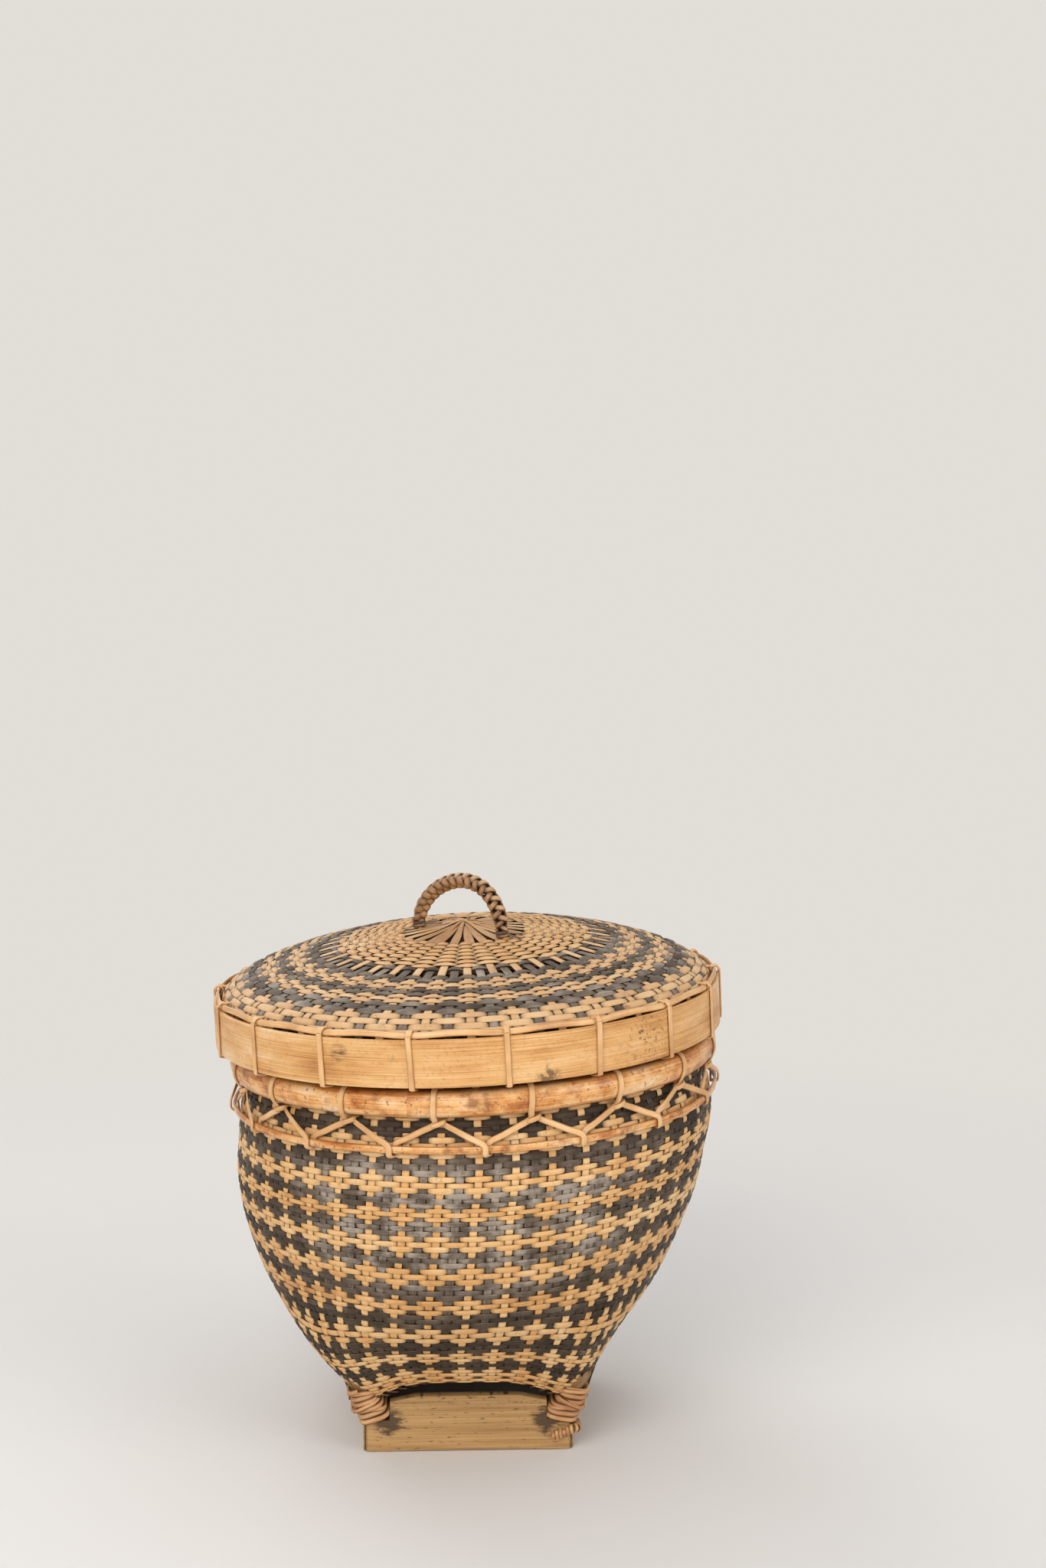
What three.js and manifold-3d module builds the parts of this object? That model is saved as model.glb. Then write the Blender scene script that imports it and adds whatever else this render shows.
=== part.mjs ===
// Lidded rattan rice basket: a woven body, square at the foot and round at the mouth, on a
// wooden frame, with a domed woven lid. Millimetres, +Z up, origin under the basket's middle.
import * as THREE from "three";
import { mergeVertices } from "three/addons/utils/BufferGeometryUtils.js";
import Module from "manifold-3d";

const wasm = await Module();
wasm.setup();

const DEGREE = Math.PI / 180;
const TURN = 2 * Math.PI;

// Clearances
const FIT_GAP = 0.3; // between two pieces that touch
const CANE_GAP = 0.35; // between a flat cane and what it is wound round
const CUT_GAP = 0.4; // round a piece in the hole it goes through
const CUT_REACH = 6; // how far a cutter runs past what it cuts
const END_GAP = 1.5; // between the two ends of a lashing

// Base frame of four mitred boards
const BASE_SIDE = 114.3;
const BASE_YAW = 2 * DEGREE;
const FOOT_SHIFT = -2.6; // middle of the base frame and of the foot, left of the origin
const BOARD_HEIGHT = 31.6;
const BOARD_THICKNESS = 6;
const BOARD_CORNER = 4; // chamfer on the frame's outer corners

// Lashings at the frame's corners
const CORNER_CANE_WIDTH = 2.8;
const CORNER_CANE_THICKNESS = 1.2;
const CORNER_PITCH = 3.6;
const CORNER_TURNS = 6;
const CORNER_DROP = 11.6; // lowest turn below the boards' top
const LOOP_HALF = 7; // half the width of a turn
const LOOP_POWER = 4; // squareness of a turn, 2 being round
const LOOP_STEPS = 16;
const LOOP_SPLAY = 6.8; // how far the top turn leans out under the weave
const SLOT_SLACK = 4.2; // how much wider a slot is than the cane is thick
const KNOT_TURNS = 1.6; // extra lashing low on the front right corner
const KNOT_DROP = 22.9; // its lowest turn below the boards' top
const STAKE_SIZE = 4; // leg of a stake bundle, inside the frame's corner

// Woven body
const FOOT_OVERHANG = 4.85; // foot outside the boards
const FOOT_POWER = 8; // squareness of the foot, 2 being round
const SQUARE_TOP = 120; // height at which the body is round
const ARCH_RISE = 10; // how far the lower edge rises between the corners
const ARCH_POWER = 12;
const BELLY_SWELL = 5.4; // widest part of the wall outside the rim
const BELLY_SAG = 4.2; // the lower wall hangs this far to the left of the foot's middle
const WALL = 2.4;
const FLOOR_RISE = 13; // middle of the woven bottom above the boards
// Wall from foot to belly, as shares of the height to the rim, of the swell and of the sag
const WALL_SHAPE = [
  [0, 0, 0],
  [0.18, 0.369, 1],
  [0.334, 0.681, 0.45],
  [0.467, 0.843, 0.05],
  [0.617, 0.954, -0.43],
  [0.79, 1, -0.74],
];
const SETTLE_START = 150; // from here up the wall's middle moves over to the rim's axis
const SHOULDER_SHARE = 0.9; // share of the height at which the wall has started to draw in
const SHOULDER_INSET = 1.2;
const RING_POINTS = 40;
const WEAVE_RELIEF = 0.8; // depth of the over and under of the weave, shown coarsely
const WEAVE_COURSES = 7; // courses of relief from the foot to the round part, and from there to the rim
const INNER_STEPS = 4; // steps of the smooth inside in the same two stretches

// Rim, measured in its own leaning frame from the hoop's lower edge
const RIM_HEIGHT = 205.5;
const RIM_LEAN = 2.5 * DEGREE;
const RIM_SHIFT = 1.6; // middle of the rim, right of the origin
const LEAN_START = 60; // the wall starts to lean here, and leans fully from the next height up
const LEAN_FULL = 165;
const RIM_NECK = 1.5; // straight wall below the hoop
const COLLAR_HEIGHT = 27; // top of the wall, inside the lid
const HOOP_HEIGHT = 14;
const HOOP_THICKNESS = 8;
const HOOP_FLAT = 3.6; // flat part of the half round hoop's edges
const HOOP_STEPS = 4;
const HOOP_WRAP = 45 * DEGREE; // where a strand bends over the hoop, from its middle
const INNER_HOOP_LIFT = 1; // inner hoop's edges inside the outer hoop's, below and above
const INNER_HOOP_DROP = 0.5;
const INNER_HOOP_THICKNESS = 2;
const MOUTH_RING_HEIGHT = 2;
const TIE_RING_DROP = 16.5; // middle of the thin ring below the hoop's lower edge
const TIE_RING_HEIGHT = 4;
const TIE_RING_THICKNESS = 1.6;
const SCARF_SLIT = 0.6;
const SCARF_SLANT = 55 * DEGREE;

// Flat canes that lash the rim and the lid
const CANE_WIDTH = 3.2;
const CANE_THICKNESS = 1.1;
const STRAND_SPREAD = 2.3; // half the space between the two strands at a station
const RIM_STATIONS = 17;
const RIM_FIRST = 72.9 * DEGREE;
const ZIGZAG_TOP = 3.6; // ends of the slanting strands below the hoop
const STRAND_BULGE = 3; // a strand that comes out below the hoop stands off the wall this far
const LID_STATIONS = 18;
const LID_FIRST = 79.7 * DEGREE;
const RUN_LIFT = 3; // middle of the lid's strand above the band's top edge
const RUN_TURN = 6; // length in which the strand turns down over the band
const RUN_RETURN = 3.2; // where it comes back to the run, past the loop

// Lid
const LID_OFFSET = -2.2; // the lid sits a little to the left of the rim
const BAND_RADIUS = 140;
const BAND_HEIGHT = 24.5;
const BAND_THICKNESS = 2.6;
const BAND_GAP = 2.1; // room between the dome's skirt and the band
const DOME_RISE = 33.1;
const DOME_POWER = 1.3; // 2 would be a full round, 1 runs straight to the crown
const DOME_SAG = 2 * DEGREE; // the dome dips towards the front
const SAG_FADE = 4; // power with which the dip dies away at the edge
const DOME_WALL = 1.9;
const DOME_STEPS = 8;
const SKIRT_LIFT = 1; // skirt's lower edge above the band's
const OPEN_ROW_RADIUS = 75.5; // ring where the spokes are bare and light falls between them
const OPEN_ROW_WIDTH = 5;
const OPEN_SLOTS = 20;
const OPEN_SLOT_LENGTH = 7;
const INNER_BAND_DROP = 2.5; // inner band's top below the band's
const INNER_BAND_THICKNESS = 1.7;
const LID_PLAY = 0.75; // least room between the lid and the collar that it slips round

// Handle
const HANDLE_YAW = -36.4 * DEGREE;
const HANDLE_ASIDE = -2; // handle's middle from the lid's, to the right and to the front
const HANDLE_FORWARD = 7.5;
const HANDLE_HALF_SPAN = 29.2;
const HANDLE_RISE = 27.5; // middle of the arch above the dome at its feet
const HANDLE_RADIUS = 3.8;
const HANDLE_SIDES = 10;
const HANDLE_STEPS = 24;
const HANDLE_PARTS = 6; // stretches of the arch between its guiding points
const TAIL_LENGTH = 12; // handle's ends below the dome's outside
const KNOT_HEIGHT = 5;
const KNOT_WIDTH = 3;
const KNOT_POINTS = 16;

// Where each bent hoop's ends meet
const SCARF_ANGLES = { rim: -103, innerRim: 60, mouth: 95, tie: 120, band: 80, innerBand: 130 };

// Share of a ring's radius that its flat facets come in to
const FACET_SHARE = Math.cos(Math.PI / RING_POINTS);

// Sizes that follow: from the lid's band inwards to the wall at the rim, and from the boards out to the foot
const strandOut = CANE_GAP + CANE_THICKNESS / 2;
const bandInside = BAND_RADIUS - BAND_THICKNESS;
const DOME_RADIUS = bandInside - BAND_GAP;
const skirtInside = DOME_RADIUS - DOME_WALL;
const innerBandOutside = skirtInside - FIT_GAP;
const innerBandInside = innerBandOutside - INNER_BAND_THICKNESS;
const lidInnerStrand = innerBandInside * FACET_SHARE - strandOut;
const RIM_RADIUS = lidInnerStrand - CANE_THICKNESS / 2 - LID_PLAY - Math.abs(LID_OFFSET);
const BELLY_RADIUS = RIM_RADIUS + BELLY_SWELL;
const halfBase = BASE_SIDE / 2;
const FOOT_HALF = halfBase + FOOT_OVERHANG;
const CORNER_START = BOARD_HEIGHT - CORNER_DROP;
const KNOT_START = BOARD_HEIGHT - KNOT_DROP;

const TAN = 0xdca968;
const BAMBOO = 0xd8a563;
const HOOP_BROWN = 0xc98f55;
const CANE = 0xdfb67c;
const WOOD = 0xa98352;
const PLAIT = 0xa87c50;

function mesh(name, geometry, color, roughness = 0.6) {
  const piece = new THREE.Mesh(geometry, new THREE.MeshStandardMaterial({ color, roughness, metalness: 0 }));
  piece.name = name;
  return piece;
}

function indexed(positions, indices) {
  const geometry = new THREE.BufferGeometry();
  geometry.setAttribute("position", new THREE.Float32BufferAttribute(positions, 3));
  geometry.setIndex(Array.from(indices));
  return geometry;
}

// A geometry as a solid that can be joined and cut, and back again
function solid(geometry) {
  const bare = geometry.clone();
  bare.deleteAttribute("normal");
  bare.deleteAttribute("uv");
  const merged = mergeVertices(bare, 1e-4);
  const vertProperties = new Float32Array(merged.attributes.position.array);
  const triVerts = new Uint32Array(merged.index.array);
  return new wasm.Manifold(new wasm.Mesh({ numProp: 3, vertProperties, triVerts }));
}

function geometryOf(body) {
  const { vertProperties, triVerts } = body.getMesh();
  return indexed(vertProperties, triVerts);
}

function cut(geometry, cutters) {
  const body = cutters.reduce((rest, cutter) => rest.subtract(solid(cutter)), solid(geometry));
  return geometryOf(body);
}

const flatList = (points) => points.flatMap((p) => [p.x, p.y, p.z]);

// A closed skin through rings of equal length, from one middle point to another
function loft(first, rings, last) {
  const count = rings[0].length;
  const points = [first, ...rings.flat(), last];
  const at = (k, j) => 1 + k * count + (j % count);
  const top = rings.length - 1;
  const faces = [];
  for (let j = 0; j < count; j++) {
    faces.push(0, at(0, j + 1), at(0, j));
    faces.push(points.length - 1, at(top, j), at(top, j + 1));
    for (let k = 0; k < top; k++) {
      faces.push(at(k, j), at(k, j + 1), at(k + 1, j + 1));
      faces.push(at(k, j), at(k + 1, j + 1), at(k + 1, j));
    }
  }
  return indexed(flatList(points), faces);
}

// A body of revolution about Z from its section, a list of [radius, height]
function revolve(section, count = RING_POINTS) {
  const points = section.map(([radius, height]) => new THREE.Vector2(radius, height));
  return new THREE.LatheGeometry(points, count).rotateX(Math.PI / 2).rotateZ(BASE_YAW);
}

const closed = (section) => [...section, section[0]];

const bandSection = (inside, outside, low, high) =>
  closed([[inside, low], [outside, low], [outside, high], [inside, high]]);

// A hoop bent from a strip, its ends meeting in a slanting scarf joint
function bentHoop(section, degrees) {
  const radii = section.map(([radius]) => radius);
  const heights = section.map(([, height]) => height);
  const [inside, outside] = [Math.min(...radii), Math.max(...radii)];
  const [low, high] = [Math.min(...heights), Math.max(...heights)];
  const length = (high - low + CUT_REACH) / Math.cos(SCARF_SLANT);
  const slit = new THREE.BoxGeometry(outside - inside + CUT_REACH, SCARF_SLIT, length);
  slit.rotateX(SCARF_SLANT).translate((inside + outside) / 2, 0, (low + high) / 2).rotateZ(degrees * DEGREE);
  return cut(revolve(section), [slit]);
}

// Sections of a flat cane along a route of { point, normal }, the normal lying across its thickness
function caneSections(route, width, thickness) {
  return route.map(({ point, normal }, k) => {
    const before = route[Math.max(k - 1, 0)].point;
    const after = route[Math.min(k + 1, route.length - 1)].point;
    const along = after.clone().sub(before).normalize();
    const out = normal.clone().addScaledVector(along, -normal.dot(along)).setLength(thickness / 2);
    const side = along.clone().cross(out).setLength(width / 2);
    const corners = [[1, 1], [-1, 1], [-1, -1], [1, -1]];
    return corners.map(([o, s]) => point.clone().addScaledVector(out, o).addScaledVector(side, s));
  });
}

// One unbroken flat cane, whose least gap to itself is measured and printed
function cane(name, route, width, thickness) {
  const sections = caneSections(route, width, thickness);
  console.log(`${name}: least gap to itself ${selfGap(route, sections, width).toFixed(2)} mm`);
  const last = 4 * (sections.length - 1);
  const faces = [0, 2, 1, 0, 3, 2, last, last + 1, last + 2, last, last + 2, last + 3];
  for (let k = 0; k < last; k += 4) {
    for (let side = 0; side < 4; side++) {
      const a = k + side;
      const b = k + ((side + 1) % 4);
      faces.push(a, b, b + 4, a, b + 4, a + 4);
    }
  }
  return mesh(name, indexed(flatList(sections.flat()), faces), CANE, 0.5);
}

// Least distance between points on stretches of a cane that lie several widths apart along it
function selfGap(route, sections, width) {
  const apart = 4 * width;
  const rows = [];
  let travelled = 0;
  for (let k = 0; k + 1 < route.length; k++) {
    const step = route[k].point.distanceTo(route[k + 1].point);
    const parts = Math.ceil(step);
    for (let part = 0; part < parts; part++) {
      const share = part / parts;
      const corners = sections[k].map((corner, c) => corner.clone().lerp(sections[k + 1][c], share));
      rows.push({ along: travelled + step * share, corners });
    }
    travelled += step;
  }
  let least = Infinity;
  rows.forEach((here, k) => {
    for (let m = k + 1; m < rows.length; m++) {
      const there = rows[m];
      const far = here.corners[0].distanceTo(there.corners[0]) > least + 3 * width;
      if (far || there.along - here.along < apart) continue;
      for (const a of here.corners) {
        for (const b of there.corners) least = Math.min(least, a.distanceTo(b));
      }
    }
  });
  return least;
}

// Base frame and its corner lashings, each corner a quarter turn on from the front right one
const loopCentre = halfBase + CANE_GAP + CORNER_CANE_THICKNESS / 2 - LOOP_HALF;
const slotHalf = (CORNER_CANE_THICKNESS + SLOT_SLACK) / 2;
const slotMiddle = loopCentre - LOOP_HALF + SLOT_SLACK / 3;
const stakeTop = CORNER_START + CORNER_TURNS * CORNER_PITCH + CORNER_CANE_WIDTH / 2;
const splaySlope = LOOP_SPLAY / (stakeTop - BOARD_HEIGHT);
const splayAllowance = (splaySlope * CORNER_CANE_WIDTH) / 2;
const stakeHalf = LOOP_HALF - CORNER_CANE_THICKNESS / 2 - CANE_GAP - splayAllowance;
const slotFloor = (start) => start - CORNER_CANE_WIDTH / 2 - CUT_GAP;
const loopPlace = (height) => loopCentre + splaySlope * Math.max(0, height - BOARD_HEIGHT);

// Distance from the middle to a rounded square's outline
function squareRadius(angle, half, power) {
  const sum = Math.abs(Math.cos(angle)) ** power + Math.abs(Math.sin(angle)) ** power;
  return half / sum ** (1 / power);
}

// A point on a rounded square about the corner's middle at some height
function cornerPoint(angle, half, height) {
  const radius = squareRadius(angle, half, LOOP_POWER);
  const middle = loopPlace(height);
  return new THREE.Vector3(middle + radius * Math.cos(angle), radius * Math.sin(angle) - middle, height);
}

function boardGeometry(leftFloor, rightFloor) {
  const mitre = FIT_GAP / Math.SQRT2;
  const tip = halfBase - (BOARD_CORNER + mitre) / 2;
  const inner = halfBase - mitre - BOARD_THICKNESS;
  const plan = new THREE.Shape();
  plan.moveTo(BOARD_CORNER - halfBase, 0);
  plan.lineTo(halfBase - BOARD_CORNER, 0);
  plan.lineTo(tip, (BOARD_CORNER - mitre) / 2);
  plan.lineTo(inner, BOARD_THICKNESS);
  plan.lineTo(-inner, BOARD_THICKNESS);
  plan.lineTo(-tip, (BOARD_CORNER - mitre) / 2);
  const board = new THREE.ExtrudeGeometry(plan, { depth: BOARD_HEIGHT, bevelEnabled: false });
  const slots = [[-slotMiddle, leftFloor], [slotMiddle, rightFloor]].map(([place, floor]) => {
    const height = BOARD_HEIGHT - floor + CUT_REACH;
    const slot = new THREE.BoxGeometry(2 * slotHalf, BOARD_THICKNESS + CUT_REACH, height);
    return slot.translate(place, BOARD_THICKNESS / 2, floor + height / 2);
  });
  return cut(board, slots).translate(0, -halfBase, 0);
}

// Stake ends: a leg inside the frame's corner and a head under the weave
function stakeGeometry() {
  const ring = (height) => {
    const angles = Array.from({ length: LOOP_STEPS }, (_, k) => (k / LOOP_STEPS) * TURN);
    return angles.map((angle) => cornerPoint(angle, stakeHalf, height));
  };
  const middle = (height) => new THREE.Vector3(loopPlace(height), -loopPlace(height), height);
  const seat = BOARD_HEIGHT + FIT_GAP;
  const head = loft(middle(seat), [ring(seat), ring(stakeTop)], middle(stakeTop));
  const legLow = slotFloor(CORNER_START);
  const legHeight = seat + FIT_GAP - legLow;
  const legMiddle = halfBase - BOARD_THICKNESS - FIT_GAP - STAKE_SIZE / 2;
  const leg = new THREE.BoxGeometry(STAKE_SIZE, STAKE_SIZE, legHeight);
  leg.translate(legMiddle, -legMiddle, legLow + legHeight / 2);
  return geometryOf(solid(head).add(solid(leg)));
}

function cornerRoute(start, turns) {
  const steps = Math.round(turns * LOOP_STEPS);
  return Array.from({ length: steps + 1 }, (_, k) => {
    const angle = (k / LOOP_STEPS) * TURN + 3 * Math.PI / 4;
    const point = cornerPoint(angle, LOOP_HALF, start + (k / LOOP_STEPS) * CORNER_PITCH);
    return { point, normal: new THREE.Vector3(Math.cos(angle), Math.sin(angle), 0) };
  });
}

function baseFrame() {
  const frame = new THREE.Group();
  const sides = ["front", "right", "back", "left"];
  const corners = ["front_right", "back_right", "back_left", "front_left"];
  const deep = slotFloor(KNOT_START);
  const shallow = slotFloor(CORNER_START);
  const add = (piece, quarter) => {
    piece.rotation.z = (quarter * TURN) / 4;
    frame.add(piece);
  };
  sides.forEach((side, quarter) => {
    const leftFloor = side === "right" ? deep : shallow;
    const rightFloor = side === "front" ? deep : shallow;
    add(mesh(`base_board_${side}`, boardGeometry(leftFloor, rightFloor), WOOD, 0.7), quarter);
  });
  const caneSize = [CORNER_CANE_WIDTH, CORNER_CANE_THICKNESS];
  corners.forEach((corner, quarter) => {
    add(mesh(`corner_stakes_${corner}`, stakeGeometry(), TAN), quarter);
    add(cane(`corner_lashing_${corner}`, cornerRoute(CORNER_START, CORNER_TURNS), ...caneSize), quarter);
  });
  add(cane("corner_knot_front_right", cornerRoute(KNOT_START, KNOT_TURNS), ...caneSize), 0);
  frame.rotation.z = BASE_YAW;
  frame.position.x = FOOT_SHIFT;
  return frame;
}

// Wall outline, half width against height, and the drift of its middle
const rimSpan = RIM_HEIGHT - BOARD_HEIGHT;
const neckHeight = RIM_HEIGHT - RIM_NECK;
const settledHeight = RIM_HEIGHT - TIE_RING_DROP - TIE_RING_HEIGHT;
const swell = BELLY_RADIUS - FOOT_HALF;
const wallCurve = (places) => new THREE.SplineCurve(places.map(([value, share]) =>
  new THREE.Vector2(value, BOARD_HEIGHT + share * rimSpan))).getPoints(80);
const outline = wallCurve([
  ...WALL_SHAPE.map(([up, out]) => [FOOT_HALF + out * swell, up]),
  [BELLY_RADIUS - SHOULDER_INSET, SHOULDER_SHARE],
  [RIM_RADIUS, 1 - RIM_NECK / rimSpan],
]);
const drift = wallCurve(WALL_SHAPE.map(([up, , sag]) => [FOOT_SHIFT - sag * BELLY_SAG, up]));

// Value of a curve at a height, and beyond its ends the value there
function valueAt(curve, height) {
  const found = curve.findIndex((point) => point.y > height);
  const above = found < 0 ? curve.length - 1 : Math.max(1, found);
  const [low, high] = [curve[above - 1], curve[above]];
  const share = THREE.MathUtils.clamp((height - low.y) / (high.y - low.y), 0, 1);
  return THREE.MathUtils.lerp(low.x, high.x, share);
}

const wallHalf = (height) => valueAt(outline, height);

// Middle of the wall: under the rim's axis at the top, drifting to the left below
function wallShift(height) {
  const axis = RIM_SHIFT - (height - RIM_HEIGHT) * Math.sin(RIM_LEAN);
  const settled = THREE.MathUtils.smoothstep(height, SETTLE_START, settledHeight);
  return THREE.MathUtils.lerp(valueAt(drift, height), axis, settled);
}

function wallPower(height) {
  const share = THREE.MathUtils.clamp((SQUARE_TOP - height) / (SQUARE_TOP - BOARD_HEIGHT), 0, 1);
  return 2 + (FOOT_POWER - 2) * share ** 3;
}

// A point on the wall or some way inside it, leaning with the rim towards the top
function wallPoint(angle, height, inset = 0) {
  const tilt = RIM_LEAN * THREE.MathUtils.smoothstep(height, LEAN_START, LEAN_FULL);
  const above = height - RIM_HEIGHT;
  const radius = squareRadius(angle, wallHalf(height) - inset, wallPower(height));
  const across = radius * Math.cos(angle + BASE_YAW);
  return new THREE.Vector3(
    wallShift(height) + across * Math.cos(tilt),
    radius * Math.sin(angle + BASE_YAW),
    RIM_HEIGHT + above * Math.cos(tilt) + across * Math.sin(tilt),
  );
}

const footEdge = (angle) => BOARD_HEIGHT + ARCH_RISE * (1 - Math.abs(Math.sin(2 * angle)) ** ARCH_POWER);

// A ring with every second point moved onto the straight line between its neighbours
function faceted(ring) {
  return ring.map((point, j) => {
    if (j % 2 === 0) return point;
    return ring[j - 1].clone().lerp(ring[(j + 1) % ring.length], 0.5);
  });
}

// Rings of the wall from the foot to the mouth, patches of it pressed in and out in turn by the relief
function wallRings(lift, inset, steps, relief) {
  const count = 2 * RING_POINTS;
  const angles = Array.from({ length: count }, (_, k) => (k / count) * TURN);
  const stretches = [
    (angle, share) => THREE.MathUtils.lerp(footEdge(angle) + lift, SQUARE_TOP, share),
    (angle, share) => THREE.MathUtils.lerp(SQUARE_TOP, neckHeight, share),
  ];
  const rings = [];
  for (const height of stretches) {
    for (let k = 0; k < steps; k++) {
      const press = (j) => (rings.length > 0 && (rings.length + j) % 2 ? relief : 0);
      rings.push(angles.map((angle, j) => wallPoint(angle, height(angle, k / steps), inset + press(j))));
    }
  }
  const ringAt = (height) => angles.map((angle) => wallPoint(angle, height, inset));
  const collar = [neckHeight, RIM_HEIGHT + COLLAR_HEIGHT].map((height) => faceted(ringAt(height)));
  return [...rings, ...collar];
}

function bodyGeometry(cutters) {
  const floorRing = (edge, middle) => edge.map((p) => p.clone().lerp(middle, 0.5).setZ(middle.z));
  const outer = wallRings(0, 0, WEAVE_COURSES, WEAVE_RELIEF);
  const inner = wallRings(WALL, WALL, INNER_STEPS, 0);
  const under = new THREE.Vector3(FOOT_SHIFT, 0, BOARD_HEIGHT + FLOOR_RISE);
  const over = under.clone().setZ(under.z + WALL);
  const rings = [floorRing(outer[0], under), ...outer, ...inner.reverse()];
  rings.push(floorRing(rings.at(-1), over));
  return cut(loft(under, rings, over), cutters);
}

// Room for the stakes and their lashing at each corner of the woven bottom
function cornerCutters() {
  const clear = LOOP_HALF + CORNER_CANE_THICKNESS / 2 + CUT_GAP + splayAllowance;
  const square = (height) => {
    const near = loopPlace(height) - clear;
    const far = FOOT_HALF + swell;
    const plan = [[near, -far], [far, -far], [far, -near], [near, -near]];
    return plan.map(([x, y]) => new THREE.Vector3(x, y, height));
  };
  const heights = [BOARD_HEIGHT - CUT_REACH, BOARD_HEIGHT, stakeTop + FIT_GAP];
  const middle = (height) => new THREE.Vector3(FOOT_HALF, -FOOT_HALF, height);
  const room = loft(middle(heights[0]), heights.map(square), middle(heights.at(-1)));
  const quarters = [0, 1, 2, 3].map((quarter) => (quarter * TURN) / 4 + BASE_YAW);
  return quarters.map((turn) => room.clone().rotateZ(turn).translate(FOOT_SHIFT, 0, 0));
}

// Rim, built in its leaning frame
const hoopInside = RIM_RADIUS + FIT_GAP;
const wallInside = RIM_RADIUS - WALL;
const innerHoopOutside = wallInside - FIT_GAP;
const innerHoopInside = innerHoopOutside - INNER_HOOP_THICKNESS;
const tieMiddle = -TIE_RING_DROP;
const tieTop = tieMiddle + TIE_RING_HEIGHT / 2;
const tieLow = tieMiddle - TIE_RING_HEIGHT / 2;
const tieHeights = [tieLow - strandOut, tieLow, tieMiddle, tieTop, tieTop + CANE_THICKNESS];
const wallBehindTie = Math.max(...tieHeights.map((height) => wallHalf(RIM_HEIGHT + height)));
const strandBehindTie = wallBehindTie + strandOut;
const tieInside = (strandBehindTie + CANE_THICKNESS / 2 + CUT_GAP) / FACET_SHARE;
const tieOutside = tieInside + TIE_RING_THICKNESS;

// Outline of the half round hoop, or of a cane some way outside it, at an angle about its middle
function hoopPoint(angle, out = 0) {
  const radius = hoopInside + HOOP_FLAT + (HOOP_THICKNESS - HOOP_FLAT + out) * Math.cos(angle);
  return [radius, HOOP_HEIGHT / 2 + (HOOP_HEIGHT / 2 + out) * Math.sin(angle)];
}

function hoopSection() {
  const steps = Array.from({ length: HOOP_STEPS + 1 }, (_, k) => (k / HOOP_STEPS - 0.5) * Math.PI);
  return closed([[hoopInside, 0], ...steps.map((angle) => hoopPoint(angle)), [hoopInside, HOOP_HEIGHT]]);
}

// A place on a route round the axis: shift along the rim, radius, height, and the cane's normal
function roundAxis(angle, [shift, radius, height, outward, upward]) {
  const turn = angle + shift / radius;
  const [c, s] = [Math.cos(turn), Math.sin(turn)];
  return {
    point: new THREE.Vector3(radius * c, radius * s, height),
    normal: new THREE.Vector3(outward * c, outward * s, upward),
  };
}

// Places between two others that follow the wall round
function slant(fromAngle, from, toAngle, to, shares) {
  return shares.map((share) => {
    const angle = THREE.MathUtils.lerp(fromAngle + from[0] / from[1], toAngle + to[0] / to[1], share);
    const [radius, height] = [1, 2].map((k) => THREE.MathUtils.lerp(from[k], to[k], share));
    return roundAxis(angle, [0, radius, height, from[3], 0]);
  });
}

const thirds = [1 / 3, 2 / 3];
const hoopTopStrand = HOOP_HEIGHT + strandOut;
const innerStrand = innerHoopInside * FACET_SHARE - strandOut;
const wallMiddle = RIM_RADIUS - WALL / 2;

// One strand: over the hoop, in through the wall, out again below, down round the tie ring and up
function rimRoute() {
  const pitch = TURN / RIM_STATIONS;
  const entry = [-STRAND_SPREAD, wallHalf(RIM_HEIGHT - ZIGZAG_TOP) + 2 * strandOut, -ZIGZAG_TOP, 1, 0];
  const exit = [STRAND_SPREAD, RIM_RADIUS + STRAND_BULGE, -ZIGZAG_TOP, -1, 0];
  const overHoop = [-1, 0, 1].map((side, k) => {
    const angle = side * HOOP_WRAP;
    const shift = -STRAND_SPREAD * (1 - k / 6);
    return [shift, ...hoopPoint(angle, strandOut), Math.cos(angle), Math.sin(angle)];
  });
  const through = [
    [-STRAND_SPREAD / 2, hoopInside + HOOP_FLAT, hoopTopStrand, 0, 1],
    [0, innerStrand, hoopTopStrand, -1, 1],
    [STRAND_SPREAD / 2, innerStrand, -strandOut, -1, -1],
    [STRAND_SPREAD, RIM_RADIUS + STRAND_BULGE, -strandOut, -1, -1],
  ];
  const front = tieOutside + strandOut;
  const under = tieLow - strandOut;
  const roundTie = [
    [-STRAND_SPREAD, front, tieTop + CANE_THICKNESS, -1, 0],
    [-STRAND_SPREAD, front, under, -1, 1],
    [STRAND_SPREAD, strandBehindTie, under, 1, 1],
    [STRAND_SPREAD, strandBehindTie, tieTop + CANE_THICKNESS, 1, 0],
  ];
  const slantLength = Math.hypot((pitch / 2) * RIM_RADIUS, tieTop + ZIGZAG_TOP);
  const route = [];
  for (let k = 0; k < RIM_STATIONS; k++) {
    const station = RIM_FIRST + k * pitch;
    const foot = station + pitch / 2;
    const next = station + pitch;
    route.push(roundAxis(station, entry));
    route.push(...[...overHoop, ...through, exit].map((place) => roundAxis(station, place)));
    route.push(...slant(station, exit, foot, roundTie[0], thirds));
    route.push(...roundTie.map((place) => roundAxis(foot, place)));
    route.push(...slant(foot, roundTie.at(-1), next, entry, thirds));
    if (k === RIM_STATIONS - 1) {
      route.push(...slant(foot, roundTie.at(-1), next, entry, [1 - END_GAP / slantLength]));
    }
  }
  return route;
}

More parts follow.
